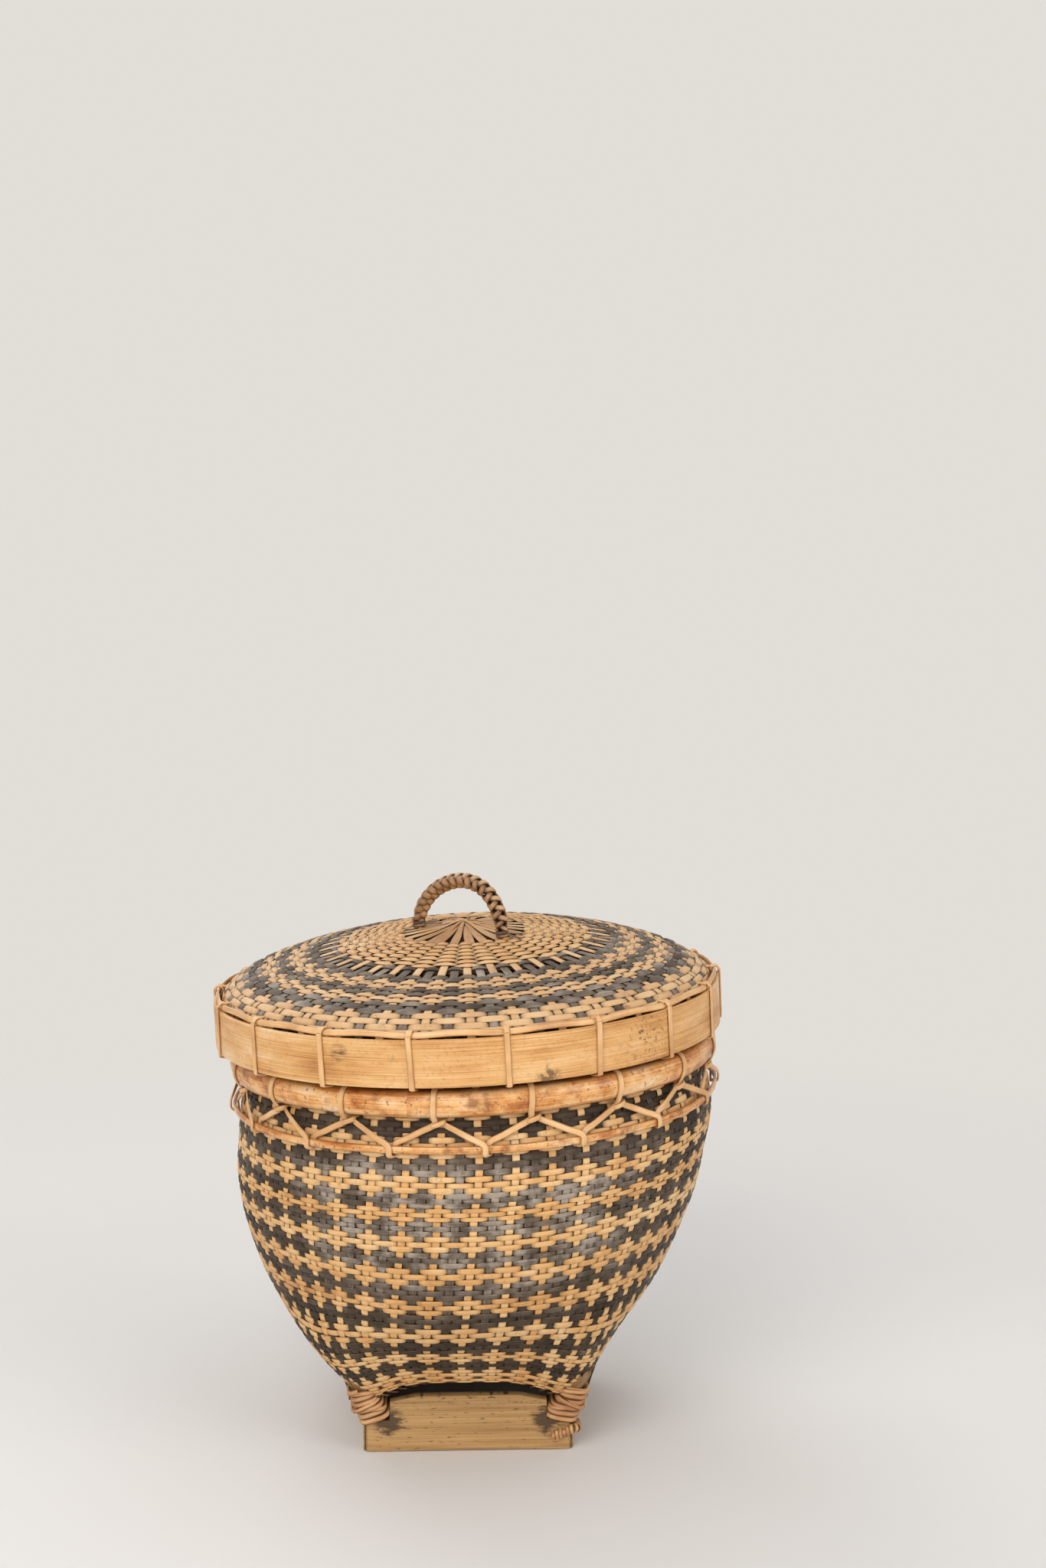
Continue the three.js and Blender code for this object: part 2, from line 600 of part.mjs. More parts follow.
// Holes in the wall for the strand, above and below the hoop
function strandHoles(frame) {
  const holes = [];
  const depth = WALL + CUT_REACH;
  const width = CANE_WIDTH + STRAND_SPREAD / 2 + 2 * CUT_GAP;
  const height = CANE_THICKNESS + 2 * CUT_GAP;
  const crossings = [[-STRAND_SPREAD / 4, hoopTopStrand], [0.75 * STRAND_SPREAD, -strandOut]];
  for (let k = 0; k < RIM_STATIONS; k++) {
    const station = RIM_FIRST + (k * TURN) / RIM_STATIONS;
    for (const [shift, middle] of crossings) {
      const hole = new THREE.BoxGeometry(depth, width, height).translate(wallMiddle, 0, middle);
      holes.push(hole.rotateZ(station + shift / RIM_RADIUS).applyMatrix4(frame.matrix));
    }
  }
  return holes;
}

function rimPieces() {
  const innerTop = HOOP_HEIGHT - INNER_HOOP_DROP;
  const innerSection = bandSection(innerHoopInside, innerHoopOutside, INNER_HOOP_LIFT, innerTop);
  const mouthLow = COLLAR_HEIGHT + FIT_GAP;
  const mouthSection = bandSection(wallInside, RIM_RADIUS, mouthLow, mouthLow + MOUTH_RING_HEIGHT);
  const tieSection = bandSection(tieInside, tieOutside, tieLow, tieTop);
  return [
    mesh("rim_hoop", bentHoop(hoopSection(), SCARF_ANGLES.rim), HOOP_BROWN, 0.45),
    mesh("inner_rim_hoop", bentHoop(innerSection, SCARF_ANGLES.innerRim), BAMBOO),
    mesh("mouth_ring", bentHoop(mouthSection, SCARF_ANGLES.mouth), CANE),
    mesh("tie_ring", bentHoop(tieSection, SCARF_ANGLES.tie), HOOP_BROWN),
    cane("rim_lashing", rimRoute(), CANE_WIDTH, CANE_THICKNESS),
  ];
}

// Lid, built from the lower edge of its band
const lidSeat = hoopTopStrand + CANE_THICKNESS / 2 + FIT_GAP + CANE_THICKNESS + CANE_GAP;

function domeHeight(radius, inset = 0) {
  const share = radius / (DOME_RADIUS - inset);
  return BAND_HEIGHT + (DOME_RISE - inset) * Math.sqrt(1 - share ** DOME_POWER);
}

function sagged(geometry) {
  const points = geometry.attributes.position;
  for (let k = 0; k < points.count; k++) {
    const share = Math.hypot(points.getX(k), points.getY(k)) / skirtInside;
    const dip = Math.tan(DOME_SAG) * (1 - Math.min(1, share) ** SAG_FADE);
    points.setZ(k, points.getZ(k) + points.getY(k) * dip);
  }
  return geometry;
}

function domeGeometry(cutters) {
  const arc = (inset) => Array.from({ length: DOME_STEPS + 1 }, (_, k) => {
    const angle = ((k / DOME_STEPS) * Math.PI) / 2;
    const radius = (DOME_RADIUS - inset) * Math.sin(angle);
    return [radius, domeHeight(radius, inset)];
  });
  const edge = [[skirtInside, SKIRT_LIFT], [DOME_RADIUS, SKIRT_LIFT]];
  return cut(sagged(revolve([...arc(DOME_WALL), ...edge, ...arc(0).reverse()])), cutters);
}

// One strand: along the band's top, and at each station round the band and up through the dome
function lidRoute() {
  const run = [DOME_RADIUS + strandOut, BAND_HEIGHT + RUN_LIFT, 1, 0];
  const outside = BAND_RADIUS + strandOut;
  const crest = domeHeight(lidInnerStrand) + 2 * strandOut;
  const bend = CANE_THICKNESS / 2;
  const shoulder = (lidInnerStrand + run[0]) / 2;
  const loop = [
    [-RUN_TURN, ...run],
    [-RUN_TURN / 2, run[0] + bend, run[1] - bend, 1, 0.4],
    [-STRAND_SPREAD, outside, BAND_HEIGHT + strandOut, 1, 1],
    [-STRAND_SPREAD, outside, -strandOut, 1, -1],
    [-STRAND_SPREAD / 2, lidInnerStrand, -strandOut, -1, -1],
    [0, lidInnerStrand, BAND_HEIGHT, -1, 0],
    [0, lidInnerStrand, crest, -1, 1],
    [STRAND_SPREAD, shoulder, domeHeight(shoulder) + 2 * strandOut, 0.6, 0.8],
    [RUN_RETURN, run[0], run[1] + 2 * bend, 1, 0.2],
    [RUN_TURN, ...run],
  ];
  const pitch = TURN / LID_STATIONS;
  const endShare = 1 - END_GAP / (pitch * run[0] - 2 * RUN_TURN);
  const route = [];
  for (let k = 0; k < LID_STATIONS; k++) {
    const station = LID_FIRST + k * pitch;
    const last = k === LID_STATIONS - 1;
    const shares = last ? [1 / 2, endShare] : thirds;
    route.push(...loop.map((place) => roundAxis(station, place)));
    route.push(...slant(station, loop.at(-1), station + pitch, loop[0], shares));
  }
  return route;
}

// Holes in the dome for the strand's loops
function loopHoles() {
  const depth = CANE_THICKNESS + 2 * CUT_GAP;
  const width = CANE_WIDTH + STRAND_SPREAD / 2 + 2 * CUT_GAP;
  const height = DOME_RISE;
  return Array.from({ length: LID_STATIONS }, (_, k) => {
    const hole = new THREE.BoxGeometry(depth, width, height);
    hole.translate(lidInnerStrand, 0, BAND_HEIGHT + height / 2);
    return hole.rotateZ(LID_FIRST + (k * TURN) / LID_STATIONS);
  });
}

// Openings between the bare spokes of the open row
function openRow() {
  return Array.from({ length: OPEN_SLOTS }, (_, k) => {
    const slot = new THREE.BoxGeometry(OPEN_ROW_WIDTH, OPEN_SLOT_LENGTH, DOME_RISE);
    slot.translate(OPEN_ROW_RADIUS, 0, domeHeight(OPEN_ROW_RADIUS));
    return slot.rotateZ(((k + 0.5) * TURN) / OPEN_SLOTS);
  });
}

// Handle: an arch whose two ends go down through the dome
const handleFoot = domeHeight(HANDLE_HALF_SPAN);

function handleGeometry() {
  const arch = Array.from({ length: HANDLE_PARTS - 1 }, (_, k) => {
    const angle = ((k + 1) / HANDLE_PARTS) * Math.PI;
    return [-HANDLE_HALF_SPAN * Math.cos(angle), handleFoot + HANDLE_RISE * Math.sin(angle)];
  });
  const tail = [handleFoot - TAIL_LENGTH, handleFoot - TAIL_LENGTH / 2, handleFoot];
  const line = [
    ...tail.map((height) => [-HANDLE_HALF_SPAN, height]),
    ...arch,
    ...tail.reverse().map((height) => [HANDLE_HALF_SPAN, height]),
  ];
  const path = new THREE.CatmullRomCurve3(line.map(([along, height]) => new THREE.Vector3(along, 0, height)));
  const round = new THREE.Shape().absarc(0, 0, HANDLE_RADIUS, 0, TURN);
  const fine = { steps: HANDLE_STEPS, curveSegments: HANDLE_SIDES / 2 };
  const handle = new THREE.ExtrudeGeometry(round, { ...fine, extrudePath: path, bevelEnabled: false });
  return handle.rotateZ(HANDLE_YAW).translate(HANDLE_ASIDE, -HANDLE_FORWARD, 0);
}

const handleFeet = [[-1, "left"], [1, "right"]].map(([side, name]) => {
  const place = side * HANDLE_HALF_SPAN;
  const x = place * Math.cos(HANDLE_YAW) + HANDLE_ASIDE;
  const y = place * Math.sin(HANDLE_YAW) - HANDLE_FORWARD;
  return { name, x, y };
});

function handleHoles() {
  return handleFeet.map(({ x, y }) => {
    const hole = new THREE.CylinderGeometry(HANDLE_RADIUS + CUT_GAP, HANDLE_RADIUS + CUT_GAP, TAIL_LENGTH);
    return hole.rotateX(Math.PI / 2).translate(x, y, handleFoot);
  });
}

function knotGeometry() {
  const inside = HANDLE_RADIUS / Math.cos(Math.PI / KNOT_POINTS) + FIT_GAP;
  const outside = inside + KNOT_WIDTH;
  const reach = HANDLE_HALF_SPAN + HANDLE_FORWARD + outside;
  const high = domeHeight(reach, DOME_WALL) - reach * Math.tan(DOME_SAG) - FIT_GAP;
  const low = high - KNOT_HEIGHT;
  const cheek = KNOT_HEIGHT / 4;
  const round = [[outside, low + cheek], [outside, high - cheek]];
  const section = [[inside, low], [outside - cheek, low], ...round, [outside - cheek, high], [inside, high]];
  return revolve(closed(section), KNOT_POINTS);
}

function lidPieces() {
  const lid = new THREE.Group();
  const innerSection = bandSection(innerBandInside, innerBandOutside, 0, BAND_HEIGHT - INNER_BAND_DROP);
  const bandPiece = bentHoop(bandSection(bandInside, BAND_RADIUS, 0, BAND_HEIGHT), SCARF_ANGLES.band);
  lid.add(mesh("lid_dome", domeGeometry([...loopHoles(), ...openRow(), ...handleHoles()]), TAN));
  lid.add(mesh("lid_band", bandPiece, BAMBOO, 0.5));
  lid.add(mesh("lid_inner_band", bentHoop(innerSection, SCARF_ANGLES.innerBand), BAMBOO));
  lid.add(cane("lid_lashing", lidRoute(), CANE_WIDTH, CANE_THICKNESS));
  lid.add(mesh("lid_handle", handleGeometry(), PLAIT));
  for (const { name, x, y } of handleFeet) {
    const knot = mesh(`handle_knot_${name}`, knotGeometry(), PLAIT);
    knot.position.set(x, y, 0);
    lid.add(knot);
  }
  lid.position.set(LID_OFFSET, 0, lidSeat);
  return lid;
}

const rim = new THREE.Group();
rim.position.set(RIM_SHIFT, 0, RIM_HEIGHT);
rim.rotation.y = -RIM_LEAN;
rim.updateMatrix();
rim.add(...rimPieces(), lidPieces());

const basket = new THREE.Group();
basket.add(baseFrame());
basket.add(mesh("basket_body", bodyGeometry([...cornerCutters(), ...strandHoles(rim)]), TAN));
basket.add(rim);

export default basket;
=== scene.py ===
import math

import bpy
import numpy as np
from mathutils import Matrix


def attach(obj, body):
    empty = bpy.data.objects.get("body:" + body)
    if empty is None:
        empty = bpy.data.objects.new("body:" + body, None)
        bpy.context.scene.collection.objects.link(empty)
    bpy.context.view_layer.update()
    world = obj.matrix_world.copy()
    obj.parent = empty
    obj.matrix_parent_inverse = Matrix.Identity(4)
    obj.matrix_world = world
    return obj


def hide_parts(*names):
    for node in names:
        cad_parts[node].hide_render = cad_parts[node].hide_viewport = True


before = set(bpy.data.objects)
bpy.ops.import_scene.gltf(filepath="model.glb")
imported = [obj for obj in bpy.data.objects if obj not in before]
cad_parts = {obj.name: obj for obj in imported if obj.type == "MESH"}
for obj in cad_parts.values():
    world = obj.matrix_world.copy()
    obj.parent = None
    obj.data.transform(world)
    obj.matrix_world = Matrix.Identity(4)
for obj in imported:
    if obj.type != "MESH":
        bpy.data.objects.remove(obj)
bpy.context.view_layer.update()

# Lidded rattan rice basket: woven splints, bent hoops, cane lashings and a plaited handle.
# Sizes are millimetres and become metres where a mesh is made. Angles run from +X, the front is at -Y.
MM = 0.001
DEGREE = math.pi / 180
TURN = 2 * math.pi
FRONT = -90 * DEGREE
random = np.random.default_rng(11)

# Base frame and the wall that stands on it
BASE_SIDE = 114.3
BASE_YAW = 2 * DEGREE
FOOT_SHIFT = -2.6
BOARD_HEIGHT = 31.6
BOARD_THICKNESS = 6
BOARD_CORNER = 4
NOTCH = 43.0  # where soot and painted shade gather round a notch for the lashing, from the middle of its board
NOTCH_LOW = 17
FOOT_POWER = 8
SQUARE_TOP = 120
ARCH_RISE = 12.6
ARCH_POWER = 6
ARCH_FADE = 110  # height at which the rows no longer follow the arched lower edge
FLOOR_RISE = 13
FLOOR_SPREAD = 0.15  # the bottom reaches out to the wall under its arches
WALL_MIDDLE = 1.2  # middle of the wall inside its outline
OUTLINE = [
    (31.6, 62.0), (62.9, 87.8), (89.7, 109.7), (112.8, 121.0),
    (138.9, 128.8), (169.0, 132.0), (188.1, 130.8), (204.0, 126.6),
]
DRIFT = [(31.6, -2.6), (62.9, -6.8), (89.7, -4.5), (112.8, -2.8), (138.9, -0.8), (169.0, 0.5)]
SETTLE_START = 150  # the wall's middle moves over to the rim's axis between these heights
SETTLE_FULL = 185

# Leaning rim
RIM_HEIGHT = 205.5
RIM_LEAN = 2.5 * DEGREE
RIM_SHIFT = 1.6
LEAN_START = 60
LEAN_FULL = 165
RIM_RADIUS = 126.6
WALL = 2.4
COLLAR_HEIGHT = 27
HOOP_HEIGHT = 14
HOOP_THICKNESS = 8
HOOP_FLAT = 3.6
FIT_GAP = 0.3
TIE_DROP = 16.5
TIE_HEIGHT = 4
TIE_THICKNESS = 1.6
TIE_INSIDE = 133.2
HOOP_SEAM = -103 * DEGREE
HOOP_KNOTS = (-102, -30, 45, 118, 190, 256)  # degrees at which the hoop's cane swells
SWELL_LENGTH = 0.035  # in radians
SWELL_OUT = 0.25
SWELL_UP = 0.6
INNER_HOOP_SEAM = 60 * DEGREE
MOUTH_SEAM = 95 * DEGREE
TIE_SEAM = 120 * DEGREE
TIE_WANDER = 0.35
BAND_SEAM = 80 * DEGREE
INNER_BAND_SEAM = 130 * DEGREE
SEAM_LAP = 9 * DEGREE
SEAM_THIN = 0.12  # share of the thickness that is left at a lapped end
HOOP_POINTS = 361
INNER_HOOP_MIDDLE = 7.25
INNER_HOOP_HEIGHT = 12.5
INNER_HOOP_THICKNESS = 2
MOUTH_SIZE = 2.4

# Weave of the body
WARPS = 88
WARP_WIDTH = 4.0
SPLINT = 0.8
WARP_WAVE = 0.35
WEFT_WAVE = 0.55
# Along a weft, in strips from where it lies over one: how high it lies, its width, how much painted shade
# it takes there
BODY_CREST = [
    (0, 1, 1.07, 0), (0.44, 0.88, 1.05, 0.03), (0.66, 0.25, 0.95, 0.45),
    (0.76, -0.75, 0.76, 1), (1, -1, 0.72, 1),
]
SWAY = 0.4  # how far a row wanders up and down
SWAY_LOW = (45, 70)  # heights between which that fades in, and out again
SWAY_HIGH = (200, 185)
ROW_UNEVEN = 0.12  # spreads of what differs by chance: heights of rows, widths of dashes, places of warps
DASH_UNEVEN = 0.06
WARP_UNEVEN = 0.02
WARP_FILL = 0.8  # most of its room that a warp takes
UNDER_SPLINTS = 23  # in the dark layer under the bottom, a sheet of painted shade
UNDER_DROP = 1.5
UNDER_LAP = 2.4
FLOOR_FILL = 0.97
LINING_INSET = 2.8
LINING_THICKNESS = 0.5
LINING_LAP = 1.25
WARP_STEPS = 3  # points from one row to the next
ROWS_ABOVE = 11  # rows above the first all black one, and below it
ROWS_BELOW = 54
ROW_PITCH = 3.0
BLACK_ROWS = [197.8, 179.3, 162.0, 147.2, 129.8, 110.5, 92.3, 72.3, 58.3, 45.6]  # every sixth row
BLACK_END = 50  # rows from here down are tan, and most black warps end
GATHER = 0.2  # how far the warps draw together at the corners of the foot
GATHER_TOP = 140
GATHER_LOW = 55

# Lid
LID_OFFSET = -2.2
LID_SEAT = 17.2
BAND_RADIUS = 140
BAND_HEIGHT = 24.5
BAND_THICKNESS = 2.6
DOME_RADIUS = 135.3
DOME_RISE = 33.1
DOME_MIDDLE = 0.95
DOME_POWER = 1.3
DOME_SAG = 2 * DEGREE  # the dome dips towards the front
SAG_REACH = 133.4
SAG_FADE = 4
PEAK = 1.0
PEAK_REACH = 16
DOME_WALL = 1.9
INNER_BAND_HEIGHT = 22
INNER_BAND_THICKNESS = 1.7
LID_LINING_INSET = 2.0
LID_LINING_LAP = 1.2
SPOKES = 36
LID_TURN = 2.5 * DEGREE  # of the weave on the lid
SPOKE_WIDTH = 4.3
SPOKE_WAVE = 0.2
RING_WAVE = 0.9
RING_CREST = [
    (0, 1, 1.3, 0), (0.25, 0.83, 1.22, 0.05), (0.5, 0.31, 0.96, 0.22),
    (0.68, -0.32, 0.73, 0.85), (0.86, -1, 0.6, 1), (1, -1, 0.6, 1),
]
INNER_CREST = [
    (0, 1, 1.6, 0), (0.28, 0.83, 1.46, 0.06), (0.46, 0.31, 1.02, 0.42),
    (0.6, -0.4, 0.74, 0.92), (0.8, -1, 0.6, 1), (1, -1, 0.6, 1),
]
STEEPEST = 1.6  # a ring's width grows no further with the slope
SKIRT = (20.0, 10.0, 2.0)  # heights along the part behind the band
BARE_RADIUS = 34
BARE_STRIPS = 12  # through the middle
BARE_WIDTH = 5.2
BARE_OVERLAP = 4
INNER_ROWS = 13
INNER_SHADE = 0.06
INNER_EDGE = 70
OPEN_ROW = 71.8
OUTER_ROWS = [
    83.2, 86.8, 90.2, 93.4, 96.2, 98.8, 101.3, 103.9, 106.3,
    108.7, 111.2, 114.2, 118.0, 121.8, 125.3, 129.0, 132.0, 134.0,
]
EDGE_START = 125  # rows from here out are flatter
OUTER_COLOURS = "BBTTTBBBTTTBBBTTTT"

# Lashings
CANE_WIDTH = 3.3
CANE_THICKNESS = 1.2
LASH_STEPS = 4
STRAND_OUT = 0.9
STRAND_SPREAD = 2.3
RIM_STATIONS = 17
RIM_FIRST = 72.9 * DEGREE
ZIGZAG_TOP = 3.6
HITCH_SHIFT = -0.4  # of the small turn at a station: along the rim, out and up
HITCH_OUT = 4.0
HITCH_UP = 0.4
HITCH_HALF = (3.4, 2.5)  # half its length along the rim and half its depth
HITCH_SLOPE = 18 * DEGREE
HITCH_WIDTH = 2.6
LID_STATIONS = 18
LID_FIRST = 79.7 * DEGREE
RUN_WIDTH = 3.4
RUN_THICKNESS = 1.5
RUN_LOW = 2.0  # middle of the lid's strand above the band's top, at a station and between two
RUN_HIGH = 2.9
RUN_IN = 2.0  # inside the band's outside
STRAP_WIDTH = 3.0
CURL_RADIUS = 2.3
CURL_WIDTH = 2.3
CURL_PITCH = 2.6
CURL_HALF = 0.8  # turns

# Handle
HANDLE_YAW = -36.4 * DEGREE
HANDLE_PLACE = (-2, -7.5)  # its middle on the lid
HANDLE_HALF_SPAN = 29.2
HANDLE_RISE = 28.4
HANDLE_SKEW = 4  # of its top, towards its right foot
FOOT_SLIM = 0.66  # of the plait's radius, at the feet
SLIM_REACH = 11
SLACK_OUT = 0.3  # the right half of the plait is looser
SLACK_NARROW = 1.2
TAIL_LENGTH = 12
BRAID_RADIUS = 3.1
BRAID_WAVE = 0.8
BRAID_LAY = 10.5
BRAID_WIDTH = 4.3
BRAID_THICKNESS = 1.15
LOOSE_WAYS = (-0.3, 0.5)  # directions of the loose ends at each foot
CORE_SHARE = 0.5  # of the handle's length that has a core inside the plait
CORE_WIDTH = 3.4
CORE_THICKNESS = 3.0
FOOT_COILS = ((-8.5, 1.2, 5.2), (0.6, 1.7, 3.3))  # height over the dome, pitch and radius
FOOT_TURNS = 2.6
FOOT_WIDTH = 1.8

# Sections of strips, as shares of half the width and of the thickness, counterclockwise
SPLINT_SECTION = [(1, 0), (0.65, 0.5), (-0.65, 0.5), (-1, 0), (-0.65, -0.5), (0.65, -0.5)]
BAND_SECTION = [
    (1, 0.2), (0.96, 0.5), (-0.96, 0.5), (-1, 0.2),
    (-1, -0.2), (-0.96, -0.5), (0.96, -0.5), (1, -0.2),
]
CANE_SECTION = [(1, -0.2), (0.72, 0.3), (0, 0.5), (-0.72, 0.3), (-1, -0.2), (-0.7, -0.5), (0.7, -0.5)]


def half_round(flat_share):
    """A half round section whose edges are flat for a share of the thickness."""
    steps = 10
    angles = [math.pi * (0.5 - k / steps) for k in range(steps + 1)]
    bow = [(math.sin(a), flat_share + (1 - flat_share) * math.cos(a) - 0.5) for a in angles]
    return bow + [(-0.97, -0.5), (0.97, -0.5)]


# Placing: each frame is the body that rides in it, a rotation and a middle
def turned_y(angle):
    c, s = math.cos(angle), math.sin(angle)
    return np.array([[c, 0, s], [0, 1, 0], [-s, 0, c]])


def turned_z(angle):
    c, s = math.cos(angle), math.sin(angle)
    return np.array([[c, -s, 0], [s, c, 0], [0, 0, 1]])


LEANING = turned_y(-RIM_LEAN)
WALL_FRAME = ("basket", np.eye(3), np.zeros(3))
BASE_FRAME = ("basket", turned_z(BASE_YAW), np.array([FOOT_SHIFT, 0, 0]))
RIM_FRAME = ("basket", LEANING, np.array([RIM_SHIFT, 0, RIM_HEIGHT]))
LID_FRAME = ("lid", LEANING, RIM_FRAME[2] + LEANING @ np.array([LID_OFFSET, 0, LID_SEAT]))


# Numbers and curves
UP = np.array([0.0, 0.0, 1.0])


def smooth(value, low, high):
    t = np.clip((value - low) / (high - low), 0, 1)
    return t * t * (3 - 2 * t)


def unit(vectors):
    return vectors / np.maximum(np.linalg.norm(vectors, axis=-1, keepdims=True), 1e-9)


def spline(points, steps):
    """A smooth curve through points, with so many steps between two of them."""
    points = np.asarray(points, float)
    last = len(points) - 1
    places = np.arange(last * steps + 1) / steps
    low = np.minimum(places.astype(int), last - 1)
    t = (places - low)[:, None]
    a, b, c, d = (points[np.clip(low + k, 0, last)] for k in (-1, 0, 1, 2))
    return b + 0.5 * t * (c - a + t * (2 * a - 5 * b + 4 * c - d + t * (3 * (b - c) + d - a)))


def lengths(line):
    """Length along a line at each of its points."""
    return np.concatenate([[0], np.cumsum(np.linalg.norm(np.diff(line, axis=0), axis=1))])


def around(angle, radius, height):
    angle, radius, height = np.broadcast_arrays(angle, radius, height)
    return np.stack([radius * np.cos(angle), radius * np.sin(angle), height], -1)


# Strips: a strip is its middle line, the way its face looks, its width and its thickness
SHARP = 40 * DEGREE  # edges sharper than this stay hard
STRIP_APART = 11  # strips lie this far apart across the grain
GRAIN_LENGTH = 500  # and start anywhere in this length of it, by their tones
TONE_SPREAD = 7919


# deep is the painted shade that a strip takes along its length, from 0 in full light to 1 in deep shade
def strip(middle, out, width, thickness, closed=False, upright=False, deep=0.0, tone=None):
    if tone is None:
        tone = random.random()
    return dict(
        middle=middle, out=out, width=width, thickness=thickness,
        closed=closed, upright=upright, deep=deep, tone=tone)


def strip_rings(one, section):
    """Corner points of a strip, ring by ring, with the length along it."""
    middle = one["middle"]
    if one["closed"]:
        along = np.roll(middle, -1, 0) - np.roll(middle, 1, 0)
    else:
        along = np.gradient(middle, axis=0)
    if one["upright"]:
        along[:, 2] = 0
    along = unit(along)
    out = unit(one["out"] - along * (one["out"] * along).sum(1, keepdims=True))
    side = np.cross(along, out)
    half = np.broadcast_to(np.asarray(one["width"], float) / 2, len(middle))[:, None, None]
    deep = np.broadcast_to(np.asarray(one["thickness"], float), len(middle))[:, None, None]
    across = section[:, 0][None, :, None]
    up = section[:, 1][None, :, None]
    rings = middle[:, None] + side[:, None] * across * half + out[:, None] * up * deep
    length = lengths(np.concatenate([middle, middle[:1]]))
    if one["upright"]:
        return rings, length, rings[..., 2]
    return rings, length, across[..., 0] * half[..., 0]


def grid(rings, size, closed):
    """For each face between rings of points: its ring, its place in it, and the next of both."""
    spans = rings if closed else rings - 1
    k = np.repeat(np.arange(spans), size)
    j = np.tile(np.arange(size), spans)
    return k, j, (k + 1) % rings, (j + 1) % size


def mesh_of(name, points, faces, material):
    mesh = bpy.data.meshes.new(name)
    mesh.from_pydata(points.tolist(), [], faces)
    mesh.polygons.foreach_set("use_smooth", np.ones(len(mesh.polygons), bool))
    mesh.materials.append(material)
    return mesh


def add(name, data):
    """A new object in the scene."""
    piece = bpy.data.objects.new(name, data)
    bpy.context.scene.collection.objects.link(piece)
    return piece


def build(name, strips, section, paint, place, node=None):
    """One mesh of strips in the place of a node, with u along and v across each, and each strip's tone."""
    material, slot = paint
    body, rotation, middle = place
    section = np.array(section, float)
    size = len(section)
    points, faces, uvs, tones, edges, painted_shades = [], [], [], [], [], []
    start = 0
    for number, one in enumerate(strips):
        rings, length, across = strip_rings(one, section)
        length = length + np.mean(one["tone"]) * TONE_SPREAD % GRAIN_LENGTH
        across = across + STRIP_APART * number
        count = len(rings)
        k, j, after, beside = grid(count, size, one["closed"])
        quads = [k * size + j, after * size + j, after * size + beside, k * size + beside]
        faces += (start + np.stack(quads, 1)).tolist()
        u = np.stack([length[k], length[k + 1], length[k + 1], length[k]], 1)
        v = np.stack([across[k, j], across[after, j], across[after, beside], across[k, beside]], 1)
        uvs.append(np.stack([u, v], -1).reshape(-1, 2))
        if not one["closed"]:
            for ring, order in ((0, range(size)), (count - 1, range(size - 1, -1, -1))):
                faces.append([start + ring * size + corner for corner in order])
                uvs.append(np.array([(length[ring], across[ring, corner]) for corner in order]))
        points.append(rings.reshape(-1, 3))
        edges.append(np.tile(np.abs(section[:, 0]), count))
        for values, key in ((tones, "tone"), (painted_shades, "deep")):
            values.append(np.repeat(np.broadcast_to(np.asarray(one[key], float), count), size))
        start += count * size
    corners = (np.concatenate(points) @ rotation.T + middle) * MM
    mesh = mesh_of(name, corners, faces, material)
    flat = (np.concatenate(uvs) * MM).astype(np.float32).ravel()
    mesh.uv_layers.new(name="strip").uv.foreach_set("vector", flat)
    # deep carries each point's painted shade to the materials
    for label, values in (("tone", tones), ("edge", edges), ("deep", painted_shades)):
        layer = mesh.attributes.new(label, "FLOAT", "POINT")
        layer.data.foreach_set("value", np.concatenate(values).astype(np.float32))
    mesh.set_sharp_from_angle(angle=SHARP)
    piece = add(name, mesh)
    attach(piece, body)
    if node:
        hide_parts(node)


